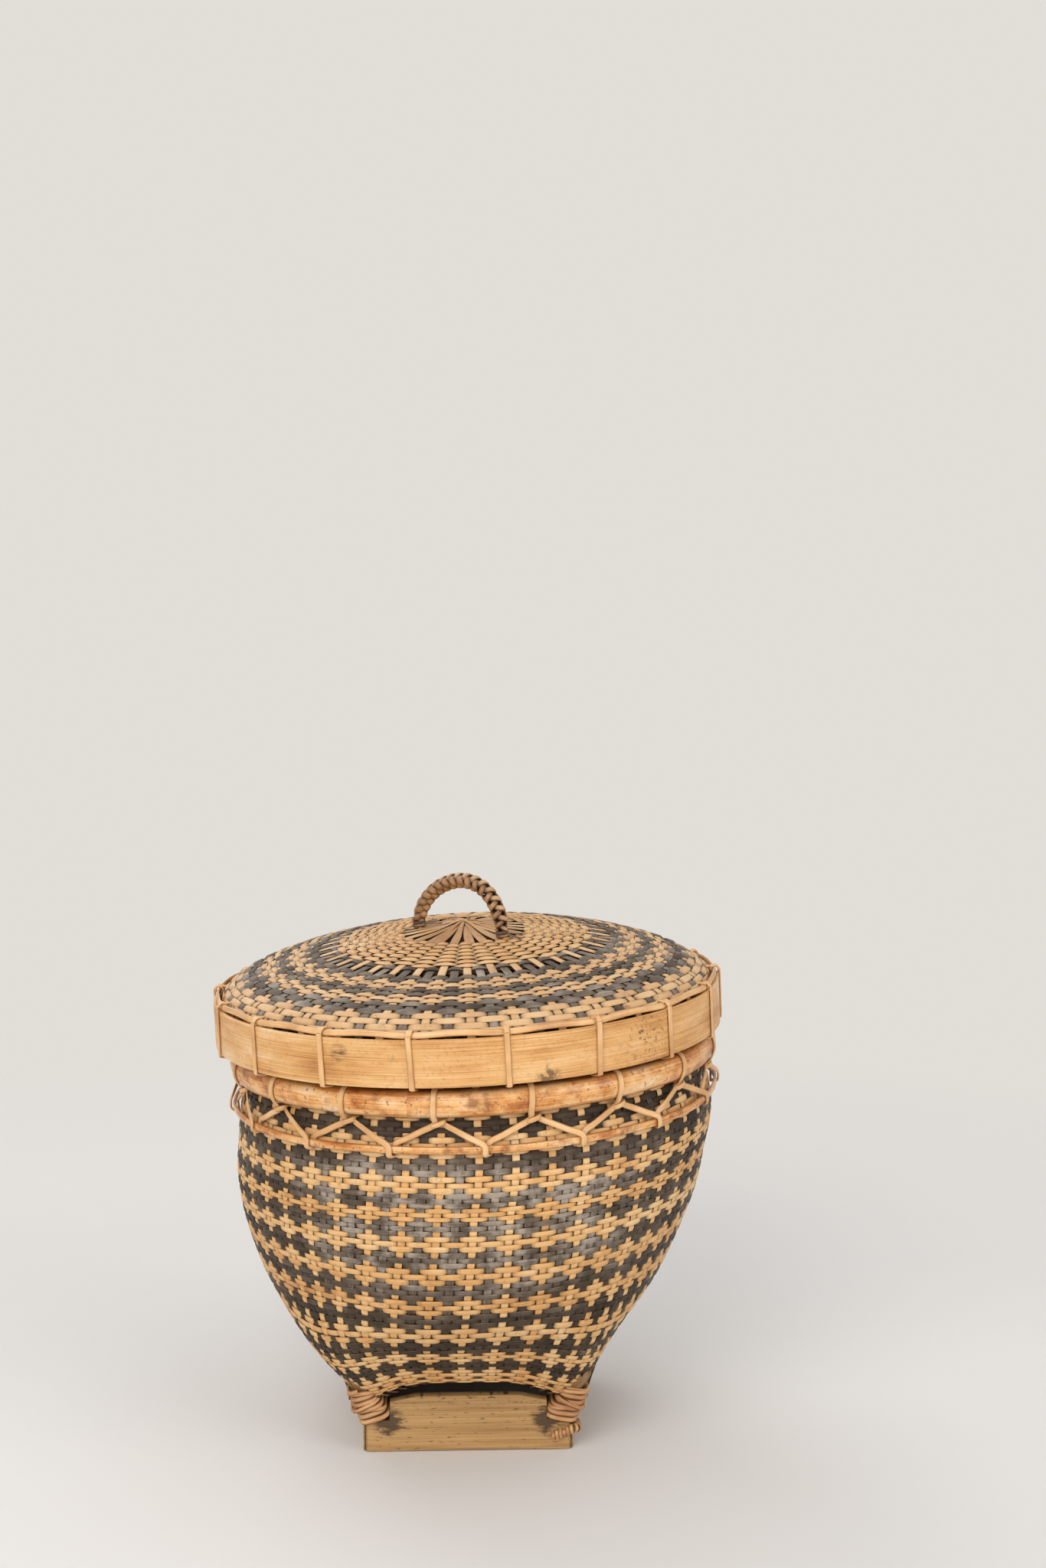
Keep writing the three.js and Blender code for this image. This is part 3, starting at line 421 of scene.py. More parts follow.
# Materials
class Graph:
    """The nodes of one material, made one after another."""

    def __init__(self, name):
        self.material = bpy.data.materials.new(name)
        self.material.use_nodes = True
        self.nodes = self.material.node_tree.nodes
        self.links = self.material.node_tree.links
        self.shader = self.nodes["Principled BSDF"]

    def put(self, socket, value):
        if isinstance(value, bpy.types.NodeSocket):
            self.links.new(value, socket)
        elif value is not None:
            socket.default_value = value

    def node(self, kind, *values, **settings):
        made = self.nodes.new("ShaderNode" + kind)
        for key, value in settings.items():
            setattr(made, key, value)
        for socket, value in zip(made.inputs, values):
            self.put(socket, value)
        return made

    def fill(self, node, values):
        for key, value in values.items():
            self.put(node.inputs[key], value)
        return node

    def math(self, operation, a, b=None, c=None):
        return self.node("Math", a, b, c, operation=operation).outputs[0]

    def attribute(self, name):
        return self.node("Attribute", attribute_name=name).outputs["Fac"]

    def power(self, name, exponent):
        return self.math("POWER", self.attribute(name), exponent)

    def off(self, a, b):
        """How far a value is from another."""
        return self.math("ABSOLUTE", self.math("SUBTRACT", a, b))

    def times(self, a, b):
        return self.math("MULTIPLY", a, b)

    def most(self, first, *others):
        for other in others:
            first = self.math("MAXIMUM", first, other)
        return first

    def sum(self, *parts):
        """A weighted sum of values, each part a value and its weight."""
        total = 0.0
        for value, weight in parts:
            total = self.math("MULTIPLY_ADD", value, weight, total)
        return total

    def place(self):
        return self.node("TexCoord").outputs["Object"]

    def noise(self, vector, scale, detail, rough):
        values = {"Vector": vector, "Scale": scale, "Detail": detail, "Roughness": rough}
        return self.fill(self.node("TexNoise"), values).outputs["Fac"]

    def grain(self, along, across, detail, rough=0.5):
        """Noise on the strips, scaled along and across them."""
        uv = self.node("UVMap", uv_map="strip").outputs[0]
        scaled = self.node("VectorMath", uv, (along, across, 1), operation="MULTIPLY").outputs[0]
        return self.noise(scaled, 1.0, detail, rough)

    def cloud(self, scale, detail, rough=0.5):
        """Noise in space."""
        return self.noise(self.place(), scale, detail, rough)

    def ramp(self, factor, *stops):
        made = self.node("ValToRGB", factor)
        line = made.color_ramp
        while len(line.elements) < len(stops):
            line.elements.new(1)
        for element, (place, colour) in zip(line.elements, stops):
            element.position = place
            element.color = (*colour, 1)
        return made.outputs[0]

    def range(self, value, low, high, to_low=0.0, to_high=1.0):
        return self.node("MapRange", value, low, high, to_low, to_high, clamp=True).outputs[0]

    def mix(self, factor, a, b):
        made = self.node("Mix", data_type="RGBA")
        for socket, value in zip((0, 6, 7), (factor, a, b)):
            self.put(made.inputs[socket], (*value, 1) if isinstance(value, tuple) else value)
        return made.outputs[2]

    def bump(self, height, strength, distance):
        values = {"Strength": strength, "Distance": distance * MM, "Height": height}
        made = self.fill(self.node("Bump"), values)
        self.links.new(made.outputs[0], self.shader.inputs["Normal"])

    def shaded(self, colour, dark, most):
        """Painted shade: a colour that goes dark where a strip dives under another or lies hidden behind
        other parts.
        """
        return self.mix(self.times(self.power("deep", 1.4), most), colour, dark)

    def near(self, place, full, none):
        """1 within a distance of a place in millimetres, falling to 0 at a larger one."""
        spot = tuple(float(c) * MM for c in place)
        away = self.node("VectorMath", self.place(), spot, operation="DISTANCE").outputs["Value"]
        return self.range(away, full * MM, none * MM, 1.0, 0.0)

    def finish(self, colour, roughness, shine=0.5):
        values = {"Specular IOR Level": shine, "Base Color": colour, "Roughness": roughness}
        self.fill(self.shader, values)
        return self.material


HONEY_DARK = (0.4, 0.16, 0.038)
HONEY = (0.75, 0.41, 0.145)
HONEY_PALE = (0.9, 0.65, 0.35)
# Pale grey-beige: a painted reflection of the sky on the lid's splints
SKY_SHEEN = (0.66, 0.47, 0.29)
# Colour of grime, and of painted shade along the strips' edges
STAIN_AND_EDGE_SHADE = (0.16, 0.062, 0.018)
# Painted shade: the near black of crevices where strips dive under others
CREVICE_SHADE = (0.022, 0.01, 0.005)
STAGE_NEAR = 0.3  # metres from the object between which the stage turns to its even tone
STAGE_FAR = 0.9


def tan_splint(name, warmth=0.0, blend=0.0):
    g = Graph(name)
    fibre = g.grain(60, 2600, 3)
    patch = g.cloud(45, 3)
    value = g.sum((g.attribute("tone"), 0.35), (fibre, 0.5), (patch, 0.5))
    colour = g.ramp(g.math("ADD", value, warmth), (0.3, HONEY_DARK), (0.62, HONEY), (1.0, HONEY_PALE))
    # Towards a pale grey-beige: a painted sky reflection on the lid
    colour = g.mix(blend, colour, SKY_SHEEN)
    # Painted shade along each strip's edges, where rows meet, mixed with real grime in patches
    edge = g.power("edge", 5.0)
    grime = g.range(g.cloud(240, 4, 0.65), 0.58, 0.75)
    wear_and_edge_shade = g.math("MULTIPLY_ADD", edge, 0.5, g.times(grime, 0.5))
    g.bump(fibre, 0.5, 0.25)
    # Painted shade where the strips dive under others
    colour = g.shaded(g.mix(wear_and_edge_shade, colour, STAIN_AND_EDGE_SHADE), CREVICE_SHADE, 0.92)
    return g.finish(colour, g.range(fibre, 0.3, 0.7, 0.62, 0.45))


def front_wear_and_sheen(g):
    """How much lighter the front of the belly is painted: wear in blotches, and painted sheen and light
    where it faces the lamps.
    """
    _, y, z = g.node("SeparateXYZ", g.place()).outputs
    front = g.range(y, -75 * MM, -115 * MM)
    high = g.times(g.range(z, 90 * MM, 130 * MM), g.range(z, 200 * MM, 170 * MM))
    return g.times(front, high)


def black_splint(name, painted_sheen=0.0):
    g = Graph(name)
    fibre = g.grain(40, 3200, 3)
    patch = g.cloud(38, 3, 0.6)
    value = g.sum((g.attribute("tone"), 0.22), (fibre, 0.45), (patch, 0.55))
    wear_and_edge_shade = g.range(g.cloud(55, 4, 0.65), 0.4, 0.68)
    # Lighter over the front of the belly: an even painted sheen of light, and blotches of wear
    value = g.math("ADD", value, g.times(front_wear_and_sheen(g), g.math("MULTIPLY_ADD", wear_and_edge_shade, 0.36, 0.16)))
    # The second argument lifts the blacks towards grey: a painted glossy reflection on the lid
    colour = g.ramp(
        g.math("ADD", value, painted_sheen), (0.42, (0.024, 0.014, 0.007)), (0.66, (0.068, 0.047, 0.03)),
        (0.84, (0.16, 0.125, 0.095)), (1.0, (0.37, 0.31, 0.25)))
    scratch = g.range(g.grain(55, 1700, 2), 0.66, 0.72)
    edge = g.range(g.attribute("edge"), 0.8, 1.0)
    bare = g.times(g.most(scratch, edge), g.range(patch, 0.45, 0.7, 0.05, 0.6))
    g.bump(fibre, 0.5, 0.25)
    # Painted shade where the strips dive under others
    colour = g.shaded(g.mix(bare, colour, (0.42, 0.24, 0.1)), (0.014, 0.008, 0.005), 0.92)
    return g.finish(colour, g.range(patch, 0.3, 0.7, 0.6, 0.42), 0.22)


def on_band(degrees, height):
    """A place on the lid's band."""
    _, rotation, middle = LID_FRAME
    return rotation @ around(degrees * DEGREE, BAND_RADIUS, height) + middle


def bamboo(name):
    g = Graph(name)
    fibre = g.grain(9, 1500, 4)
    fine = g.grain(26, 5200, 2)
    patch = g.cloud(14, 3)
    bloom = g.grain(16, 60, 3, 0.6)
    value = g.sum((fibre, 0.24), (fine, 0.2), (patch, 0.2), (bloom, 0.38))
    colour = g.ramp(
        value, (0.4, (0.4, 0.155, 0.04)), (0.48, (0.65, 0.33, 0.104)),
        (0.55, (0.77, 0.455, 0.19)), (0.62, (0.84, 0.64, 0.41)))
    speck = g.range(g.cloud(520, 3, 0.6), 0.56, 0.64)
    specked = g.most(g.near(on_band(-47, 14), 6, 24), 0.22)
    smear = g.times(g.near(on_band(-116, 17), 2, 6), g.range(g.grain(160, 500, 3), 0.4, 0.6))
    blot = g.times(g.near(on_band(-72, 2), 3, 8), g.range(g.cloud(300, 3), 0.42, 0.55))
    streak = g.range(g.grain(22, 700, 3), 0.68, 0.76)
    # Specks, streaks, a smear and a blot: real dirt on the band, no painted shade
    dirt_and_shade = g.most(g.times(speck, specked), g.times(streak, 0.4), smear, blot)
    g.bump(fine, 0.25, 0.2)
    dirty_and_shaded = g.mix(g.times(dirt_and_shade, 0.8), colour, (0.09, 0.045, 0.022))
    return g.finish(dirty_and_shaded, g.range(bloom, 0.3, 0.7, 0.5, 0.32))


def rim_cane(name):
    g = Graph(name)
    fibre = g.grain(12, 1100, 4)
    patch = g.grain(28, 90, 3, 0.6)
    gloss = g.grain(18, 160, 2)
    mottle = g.cloud(95, 4, 0.7)
    value = g.sum((fibre, 0.25), (patch, 0.65), (mottle, 0.3))
    colour = g.ramp(
        value, (0.44, (0.24, 0.05, 0.006)), (0.54, (0.58, 0.22, 0.05)),
        (0.64, (0.8, 0.45, 0.175)), (0.76, (0.84, 0.63, 0.42)))
    stain = g.times(g.range(g.cloud(70, 4, 0.7), 0.53, 0.68), 0.75)
    speck = g.times(g.range(g.cloud(430, 3, 0.6), 0.6, 0.66), 0.7)
    # Darker along the hoop's top and bottom edges: grime in patches, and painted shade under the lid's band
    # and below the hoop
    edge_grime_and_shade = g.times(g.range(g.attribute("edge"), 0.7, 1.0), g.range(mottle, 0.35, 0.6, 0.3, 0.9))
    stain = g.most(stain, speck, edge_grime_and_shade)
    g.bump(fibre, 0.2, 0.25)
    stained = g.mix(stain, colour, (0.22, 0.055, 0.008))
    return g.finish(stained, g.range(gloss, 0.35, 0.65, 0.24, 0.5))


def lashing_cane(name, age=0.0, edge_power=8.0, edge_shade=0.6):
    g = Graph(name)
    fibre = g.grain(30, 2400, 3)
    patch = g.cloud(60, 3)
    value = g.math("SUBTRACT", g.sum((fibre, 0.45), (patch, 0.6)), age)
    colour = g.ramp(
        value, (0.05, (0.1, 0.042, 0.015)), (0.3, (0.44, 0.19, 0.066)), (0.55, (0.74, 0.43, 0.185)),
        (0.85, (0.88, 0.65, 0.4)))
    # Painted shade along the cane's edges, in the gaps between turns
    edge = g.times(g.power("edge", edge_power), edge_shade)
    g.bump(fibre, 0.35, 0.25)
    # Painted shade where the cane dives under
    colour = g.shaded(g.mix(edge, colour, (0.12, 0.045, 0.014)), CREVICE_SHADE, 0.9)
    return g.finish(colour, g.range(fibre, 0.3, 0.7, 0.5, 0.35))


def base_wood(name):
    g = Graph(name)
    grain = g.grain(14, 1300, 5, 0.6)
    broad = g.grain(5, 160, 3)
    value = g.sum((grain, 0.6), (broad, 0.5))
    colour = g.ramp(
        value, (0.36, (0.24, 0.115, 0.036)), (0.55, (0.46, 0.265, 0.098)), (0.8, (0.64, 0.41, 0.18)))
    line = g.range(g.grain(10, 1900, 3), 0.64, 0.7)
    speck = g.range(g.grain(220, 800, 3), 0.62, 0.68)
    middle = FOOT_SHIFT * MM
    squared = g.node("VectorRotate", g.place(), (middle, 0, 0), None, -BASE_YAW, rotation_type="Z_AXIS")
    x, y, z = g.node("SeparateXYZ", squared.outputs[0]).outputs
    reach = [g.off(x, middle), g.math("ABSOLUTE", y)]
    along, away = g.math("MINIMUM", *reach), g.most(*reach)
    notch = g.range(g.off(along, NOTCH * MM), 1 * MM, 14 * MM, 1.0, 0.0)
    high = g.range(g.off(z, NOTCH_LOW * MM), 1 * MM, 12 * MM, 1.0, 0.0)
    patch = g.grain(90, 420, 5, 0.75)
    # Soot, with painted shade: the dark hole, the gap beside the lashing and the shadow below it
    soot_and_shade = g.range(g.math("MULTIPLY_ADD", g.times(notch, high), 0.55, patch), 0.68, 0.84)
    # Darker towards the board's end
    edge = g.times(g.range(along, 54.5 * MM, 56.2 * MM), g.range(patch, 0.32, 0.46))
    # Painted shade on the boards' inner faces
    inside = g.range(away, 53.2 * MM, 52.6 * MM)
    fleck = g.times(g.range(z, 24 * MM, 31 * MM), g.range(g.grain(240, 420, 3), 0.6, 0.66))
    # Dirt, soot and painted shade together
    dirt_and_shade = g.most(g.times(line, 0.6), g.times(speck, 0.65), soot_and_shade, edge, inside, fleck)
    g.bump(grain, 0.4, 0.3)
    dirty_and_shaded = g.mix(g.times(dirt_and_shade, 0.88), colour, (0.035, 0.018, 0.009))
    return g.finish(dirty_and_shaded, g.range(grain, 0.3, 0.7, 0.7, 0.5))


def handle_plait(name):
    g = Graph(name)
    fibre = g.grain(30, 2400, 3)
    patch = g.cloud(130, 3)
    value = g.sum((g.attribute("tone"), 0.2), (fibre, 0.45), (patch, 0.5))
    colour = g.ramp(
        value, (0.35, (0.17, 0.066, 0.022)), (0.58, (0.5, 0.26, 0.11)), (0.85, (0.76, 0.52, 0.29)))
    # Painted shade along the strands' edges, in the gaps of the plait
    edge = g.times(g.power("edge", 2.6), 0.9)
    g.bump(fibre, 0.45, 0.25)
    # Painted shade where the strands dive under, and on the core
    colour = g.shaded(g.mix(edge, colour, (0.06, 0.024, 0.01)), (0.03, 0.014, 0.008), 0.95)
    return g.finish(colour, g.range(fibre, 0.3, 0.7, 0.55, 0.4))


def stage_paint(name, colour, wall_colour):
    """Pale paint; what the camera sees away from the object is an even pale tone."""
    g = Graph(name)
    grain = g.cloud(3, 2)
    paint = g.finish(g.mix(g.range(grain, 0.3, 0.7), colour, tuple(0.97 * c for c in colour)), 0.8)
    glow = g.node("Emission", (*wall_colour, 1), 1.0)
    away = g.node("VectorMath", g.place(), operation="LENGTH").outputs["Value"]
    rays = g.node("LightPath").outputs
    sight = g.most(rays["Is Camera Ray"], rays["Is Glossy Ray"], rays["Is Transmission Ray"])
    seen = g.times(sight, g.range(away, STAGE_NEAR, STAGE_FAR))
    mixed = g.node("MixShader", seen, g.shader.outputs[0], glow.outputs[0])
    g.links.new(mixed.outputs[0], g.nodes["Material Output"].inputs["Surface"])
    return paint


# Each paint is a material and a slot's name
TAN = (tan_splint("tan_splint"), "tan_splint")
# The lid's tan copies are paler and greyer: a painted reflection of the sky
LID_TAN = (tan_splint("lid_splint", -0.03, 0.42), "tan_splint")
INNER_TAN = (tan_splint("lid_inner_splint", -0.06, 0.12), "tan_splint")
# A darker copy of the tan: painted shade for the linings and the bottom, which lie in shadow
SHADED_TAN = (tan_splint("shaded_splint", -0.3), "tan_splint")
BLACK = (black_splint("black_splint"), "black_splint")
# The lid's blacks are lifted towards grey: a painted glossy reflection
LID_BLACK = (black_splint("lid_black_splint", 0.2), "black_splint")
BAMBOO = (bamboo("bamboo_band"), "bamboo_band")
RIM = (rim_cane("rim_cane"), "rim_cane")
LASHING = (lashing_cane("lashing_cane"), "lashing_cane")
# Corner cane: older and darker, with heavy painted shade along its edges
OLD_CANE = (lashing_cane("corner_cane", 0.14, 2.0, 0.97), "lashing_cane")
WOOD = (base_wood("base_wood"), "base_wood")
PLAIT = (handle_plait("handle_plait"), "handle_plait")


# The wall's surface
outline_curve = spline(OUTLINE, 20)
drift_curve = spline(DRIFT, 20)


def square_radius(angle, half, power):
    total = np.abs(np.cos(angle)) ** power + np.abs(np.sin(angle)) ** power
    return half / total ** (1 / power)


def wall(angle, height, inset=WALL_MIDDLE):
    """Points of the wall some way inside its outline, leaning with the rim towards the top."""
    angle, height = np.broadcast_arrays(angle, height)
    tilt = RIM_LEAN * smooth(height, LEAN_START, LEAN_FULL)
    above = height - RIM_HEIGHT
    drift = np.interp(height, drift_curve[:, 0], drift_curve[:, 1])
    axis = RIM_SHIFT - above * math.sin(RIM_LEAN)
    share = np.clip((SQUARE_TOP - height) / (SQUARE_TOP - BOARD_HEIGHT), 0, 1)
    half = np.interp(height, outline_curve[:, 0], outline_curve[:, 1]) - inset
    radius = square_radius(angle, half, 2 + (FOOT_POWER - 2) * share**3)
    across = radius * np.cos(angle + BASE_YAW)
    x = drift + (axis - drift) * smooth(height, SETTLE_START, SETTLE_FULL) + across * np.cos(tilt)
    z = RIM_HEIGHT + above * np.cos(tilt) + across * np.sin(tilt)
    return np.stack([x, radius * np.sin(angle + BASE_YAW), z], -1)


def wall_slopes(angle, height):
    """How the wall's points move for each radian round it and each millimetre up it."""
    small_turn, small_rise = 0.002, 0.2
    turn = (wall(angle + small_turn, height) - wall(angle - small_turn, height)) / (2 * small_turn)
    rise = (wall(angle, height + small_rise) - wall(angle, height - small_rise)) / (2 * small_rise)
    return turn, rise


row_curve = spline(np.array(BLACK_ROWS)[:, None], 12)[:, 0]


def row_height(row):
    """Height of a row at the front, counted downwards from the highest all black one."""
    below = np.interp(row, np.arange(len(row_curve)) / 2, row_curve)
    return below - np.minimum(row, 0) * ROW_PITCH


def corner_drop(angle, height):
    """How much lower a row lies towards the corners of the foot."""
    blend = 1 - smooth(height, BOARD_HEIGHT + ARCH_RISE, ARCH_FADE)
    return ARCH_RISE * np.abs(np.sin(2 * angle)) ** ARCH_POWER * blend


def warp_angle(index, height):
    """Where a warp stands: evenly round the rim, gathered to the corners at the foot."""
    turn = FRONT + index * TURN / WARPS
    off = turn - np.round(turn / (TURN / 4)) * (TURN / 4)
    even = off / (TURN / 8)
    gathered = np.arctan(even + GATHER * (np.sin(2 * off) - even))
    share = np.clip((GATHER_TOP - height) / (GATHER_TOP - GATHER_LOW), 0, 1)
    return turn + share * (gathered - off)


def crossing(index, front, sway=0.0):
    """Where warps cross rows of a height at the front: angle, height, slopes and the way out."""
    height = front - corner_drop(warp_angle(index, front), front) + sway
    angle = warp_angle(index, height)
    turn, rise = wall_slopes(angle, height)
    return angle, height, turn, rise, unit(np.cross(turn, rise))


def warp_room(index, height, turn):
    """How much of the wall's width each warp has."""
    share = warp_angle(index + 0.5, height) - warp_angle(index - 0.5, height)
    return share * np.linalg.norm(turn, axis=1)


def crests(profile, count):
    """Places along a weft that crosses so many strips, with its height, width and painted shade at each."""
    places, *values = np.array(profile, float).T
    phase = np.concatenate([places, 2 - places[-2:0:-1]])
    index = (np.arange(0, count, 2)[:, None] + phase).ravel()
    back = [np.tile(np.concatenate([value, value[-2:0:-1]]), count // 2) for value in values]
    return index, *back


def dashes(index, crossed):
    """Uneven widths and tones, one for each place where a weft shows."""
    count = crossed // 2
    each = len(index) // count
    tone = 0.5 * random.random() + 0.5 * random.random(count)
    return np.repeat(random.normal(1, DASH_UNEVEN, count), each), np.repeat(tone, each)


def weft(row):
    index, wave, wide, deep = crests(BODY_CREST, WARPS)
    index = index + row % 2
    front = row_height(row) + random.normal(0, ROW_UNEVEN)
    angle = warp_angle(index, front)
    sway = SWAY * (np.sin(3 * angle + 0.11 * row) + 0.7 * np.sin(8 * angle - 0.17 * row))
    sway = sway * smooth(front, *SWAY_LOW) * smooth(front, *SWAY_HIGH)
    angle, height, _, rise, out = crossing(index, front, sway)
    pitch = np.linalg.norm(rise, axis=1) * (row_height(row - 0.5) - row_height(row + 0.5))
    rough, tone = dashes(index, WARPS)
    middle = wall(angle, height) + out * (wave * WEFT_WAVE)[:, None]
    return strip(middle, out, pitch * wide * rough, SPLINT, closed=True, deep=deep, tone=tone)


def warp(number):
    ends_early = number % 2 and number // 2 % 3
    last = BLACK_END if ends_early else ROWS_BELOW + 0.9
    row = np.arange(-ROWS_ABOVE - 0.5, last, 1 / WARP_STEPS)
    angle, height, turn, _, out = crossing(number + random.normal(0, WARP_UNEVEN), row_height(row))
    wave = -np.cos(math.pi * (row + number))
    width = np.minimum(WARP_WIDTH, WARP_FILL * warp_room(number, height, turn))
    # Painted shade where the warp dives under the wefts
    deep = np.clip(0.45 - 0.6 * wave, 0, 1)
    return strip(wall(angle, height) + out * (wave * WARP_WAVE)[:, None], out, width, SPLINT, deep=deep)


def lining():
    """Plain splints inside the wall, each lapping the next."""
    front = row_height(np.arange(-ROWS_ABOVE - 0.5, ROWS_BELOW + 0.9, 1.5))
    strips = []
    for number in range(WARPS):
        angle, height, turn, _, out = crossing(number + 0.5, front)
        width = LINING_LAP * warp_room(number + 0.5, height, turn)
        inset = LINING_INSET + LINING_THICKNESS * (number % 2)
        # The lining takes painted shade, so the wall's gaps look shadowed
        strips.append(strip(wall(angle, height, inset), out, width, LINING_THICKNESS, deep=0.4))
    return strips


def body_weave():
    rows = range(-ROWS_ABOVE, ROWS_BELOW + 1)
    black_rows = [row for row in rows if row % 6 in (5, 0, 1) and row < BLACK_END]
    tan_rows = [row for row in rows if row not in black_rows]
    woven = {
        "wefts_tan": ([weft(row) for row in tan_rows], TAN),
        "wefts_black": ([weft(row) for row in black_rows], BLACK),
        "warps_tan": ([warp(k) for k in range(0, WARPS, 2)], TAN),
        "warps_black": ([warp(k) for k in range(1, WARPS, 2)], BLACK),
        "lining": (lining(), SHADED_TAN),
    }
    for kind, (strips, paint) in woven.items():
        build(f"body_{kind}", strips, SPLINT_SECTION, paint, WALL_FRAME, "basket_body")


def floor_point(x, y):
    """A place on the woven bottom: raised in the middle, out to the wall's arched lower edge."""
    angle = np.arctan2(y, x)
    edge = square_radius(angle, OUTLINE[0][1], FOOT_POWER)
    share = smooth(np.hypot(x, y) / edge, 0.4, 1)
    arch = share * (1 - np.abs(np.sin(2 * angle)) ** ARCH_POWER)
    height = BOARD_HEIGHT + WALL_MIDDLE + FLOOR_RISE * (1 - share) + ARCH_RISE * arch
    spread = 1 + FLOOR_SPREAD * arch
    return np.stack([x * spread, y * spread, height], -1)


def floor_weave():
    """The bottom: the warps of facing sides run through and cross as a plain weave."""
    reach = WARPS // 8 - 1
    numbers = np.arange(-reach, reach + 1)
    foot = OUTLINE[0][1] - WALL_MIDDLE
    places = foot * np.tan(warp_angle(numbers, BOARD_HEIGHT) - FRONT)
    cross = np.interp(np.arange(-reach - 0.5, reach + 0.75, 0.25), numbers, places)
    cross = np.concatenate([[-foot], cross, [foot]])
    pitch = np.gradient(places)
    strips = {"tan": [], "black": [], "under": []}
    for way in (0, 1):
        for number, place, wide in zip(numbers, places, pitch):
            x, y = (cross, np.full_like(cross, place)) if way else (np.full_like(cross, place), cross)
            phase = np.interp(cross, places, numbers)
            wave = np.cos(math.pi * (phase + number)) * (1 if way else -1)
            middle = floor_point(x, y) + np.outer(WARP_WAVE * wave, UP)
            # Some painted shade all over the bottom
            made = strip(middle, UP, FLOOR_FILL * wide, SPLINT, deep=0.25)
            strips["black" if number % 2 else "tan"].append(made)
    # Splints under the bottom: a dark sheet of painted shade, which the bottom's gaps show from below
    line = np.linspace(-foot, foot, 25)
    for place in np.linspace(-foot, foot, UNDER_SPLINTS):
        middle = floor_point(np.full_like(line, place), line) - UNDER_DROP * UP
        wide = UNDER_LAP * foot * (1 + FLOOR_SPREAD) / (UNDER_SPLINTS - 1)
        strips["under"].append(strip(middle, UP, wide, LINING_THICKNESS, deep=0.9))
    for kind, paint in (("tan", SHADED_TAN), ("black", BLACK), ("under", SHADED_TAN)):
        build(f"bottom_{kind}", strips[kind], SPLINT_SECTION, paint, BASE_FRAME)


# Bent hoops, each a strip whose tapered ends lap
def hoop(radius, height, width, thickness, seam, wander=0.0):
    angle = np.linspace(seam - SEAM_LAP / 2, seam + TURN + SEAM_LAP / 2, HOOP_POINTS)
    from_start = np.clip((angle - angle[0]) / SEAM_LAP, 0, 1)
    from_end = np.clip((angle[-1] - angle) / SEAM_LAP, 0, 1)
    full = np.clip(np.minimum(from_start, from_end), SEAM_THIN, 1)
    shift = np.where(from_start < 1, -0.5, 0.5) * (1 - full) * thickness
    sway = wander * (np.sin(3 * angle + 1) + 0.6 * np.sin(7 * angle + 2))
    middle = around(angle, radius + shift, height + sway)
    return strip(middle, around(angle, 1, 0), width, thickness * full)


def rim_hoops():
    middle = RIM_RADIUS + FIT_GAP + HOOP_THICKNESS / 2
    section = half_round(HOOP_FLAT / HOOP_THICKNESS)
    angle = np.linspace(HOOP_SEAM, HOOP_SEAM + TURN, HOOP_POINTS)
    swell = sum(np.exp(-((angle - knot * DEGREE) / SWELL_LENGTH) ** 2) for knot in HOOP_KNOTS)
    line = around(angle, middle + SWELL_OUT * swell, HOOP_HEIGHT / 2 + 0.25 * np.sin(5 * angle))
    outer = strip(line, around(angle, 1, 0), HOOP_HEIGHT + SWELL_UP * swell, HOOP_THICKNESS)
    build("rim_hoop_half_round", [outer], section, RIM, RIM_FRAME, "rim_hoop")
    inside = RIM_RADIUS - WALL - FIT_GAP - INNER_HOOP_THICKNESS / 2
    inner = hoop(inside, INNER_HOOP_MIDDLE, INNER_HOOP_HEIGHT, INNER_HOOP_THICKNESS, INNER_HOOP_SEAM)
    build("rim_hoop_inside", [inner], BAND_SECTION, BAMBOO, RIM_FRAME, "inner_rim_hoop")
    edge = hoop(RIM_RADIUS - WALL / 2, COLLAR_HEIGHT + FIT_GAP + 1, MOUTH_SIZE, MOUTH_SIZE, MOUTH_SEAM)
    build("mouth_hoop", [edge], half_round(0.3), LASHING, RIM_FRAME, "mouth_ring")
    middle = TIE_INSIDE + TIE_THICKNESS / 2
    tie = hoop(middle, -TIE_DROP, TIE_HEIGHT, TIE_THICKNESS, TIE_SEAM, TIE_WANDER)
    build("tie_hoop", [tie], half_round(0.35), RIM, RIM_FRAME, "tie_ring")


# Lashings: a place is its shift along the rim, radius, height, and the way the cane's face looks
def lashed(places):
    """Middle line and faces of a cane through places, each an angle and a place."""
    points, faces = [], []
    for angle, (shift, radius, height, outward, upward) in places:
        turn = angle + shift / radius
        points.append(around(turn, radius, height))
        faces.append(around(turn, outward, upward))
    return spline(points, LASH_STEPS), unit(spline(faces, LASH_STEPS))


def between(a, b, share):
    """A place on the way from one angle and place to another."""
    (angle_a, place_a), (angle_b, place_b) = a, b
    turn_a = angle_a + place_a[0] / place_a[1]
    turn_b = angle_b + place_b[0] / place_b[1]
    place = [p + (q - p) * share for p, q in zip(place_a, place_b)]
    return turn_a + (turn_b - turn_a) * share, [0, *place[1:]]


def hoop_bow(angle):
    """A cane bowed over the half round hoop."""
    radius = RIM_RADIUS + FIT_GAP + HOOP_FLAT + (HOOP_THICKNESS - HOOP_FLAT + STRAND_OUT) * math.cos(angle)
    return radius, HOOP_HEIGHT / 2 + (HOOP_HEIGHT / 2 + STRAND_OUT) * math.sin(angle)


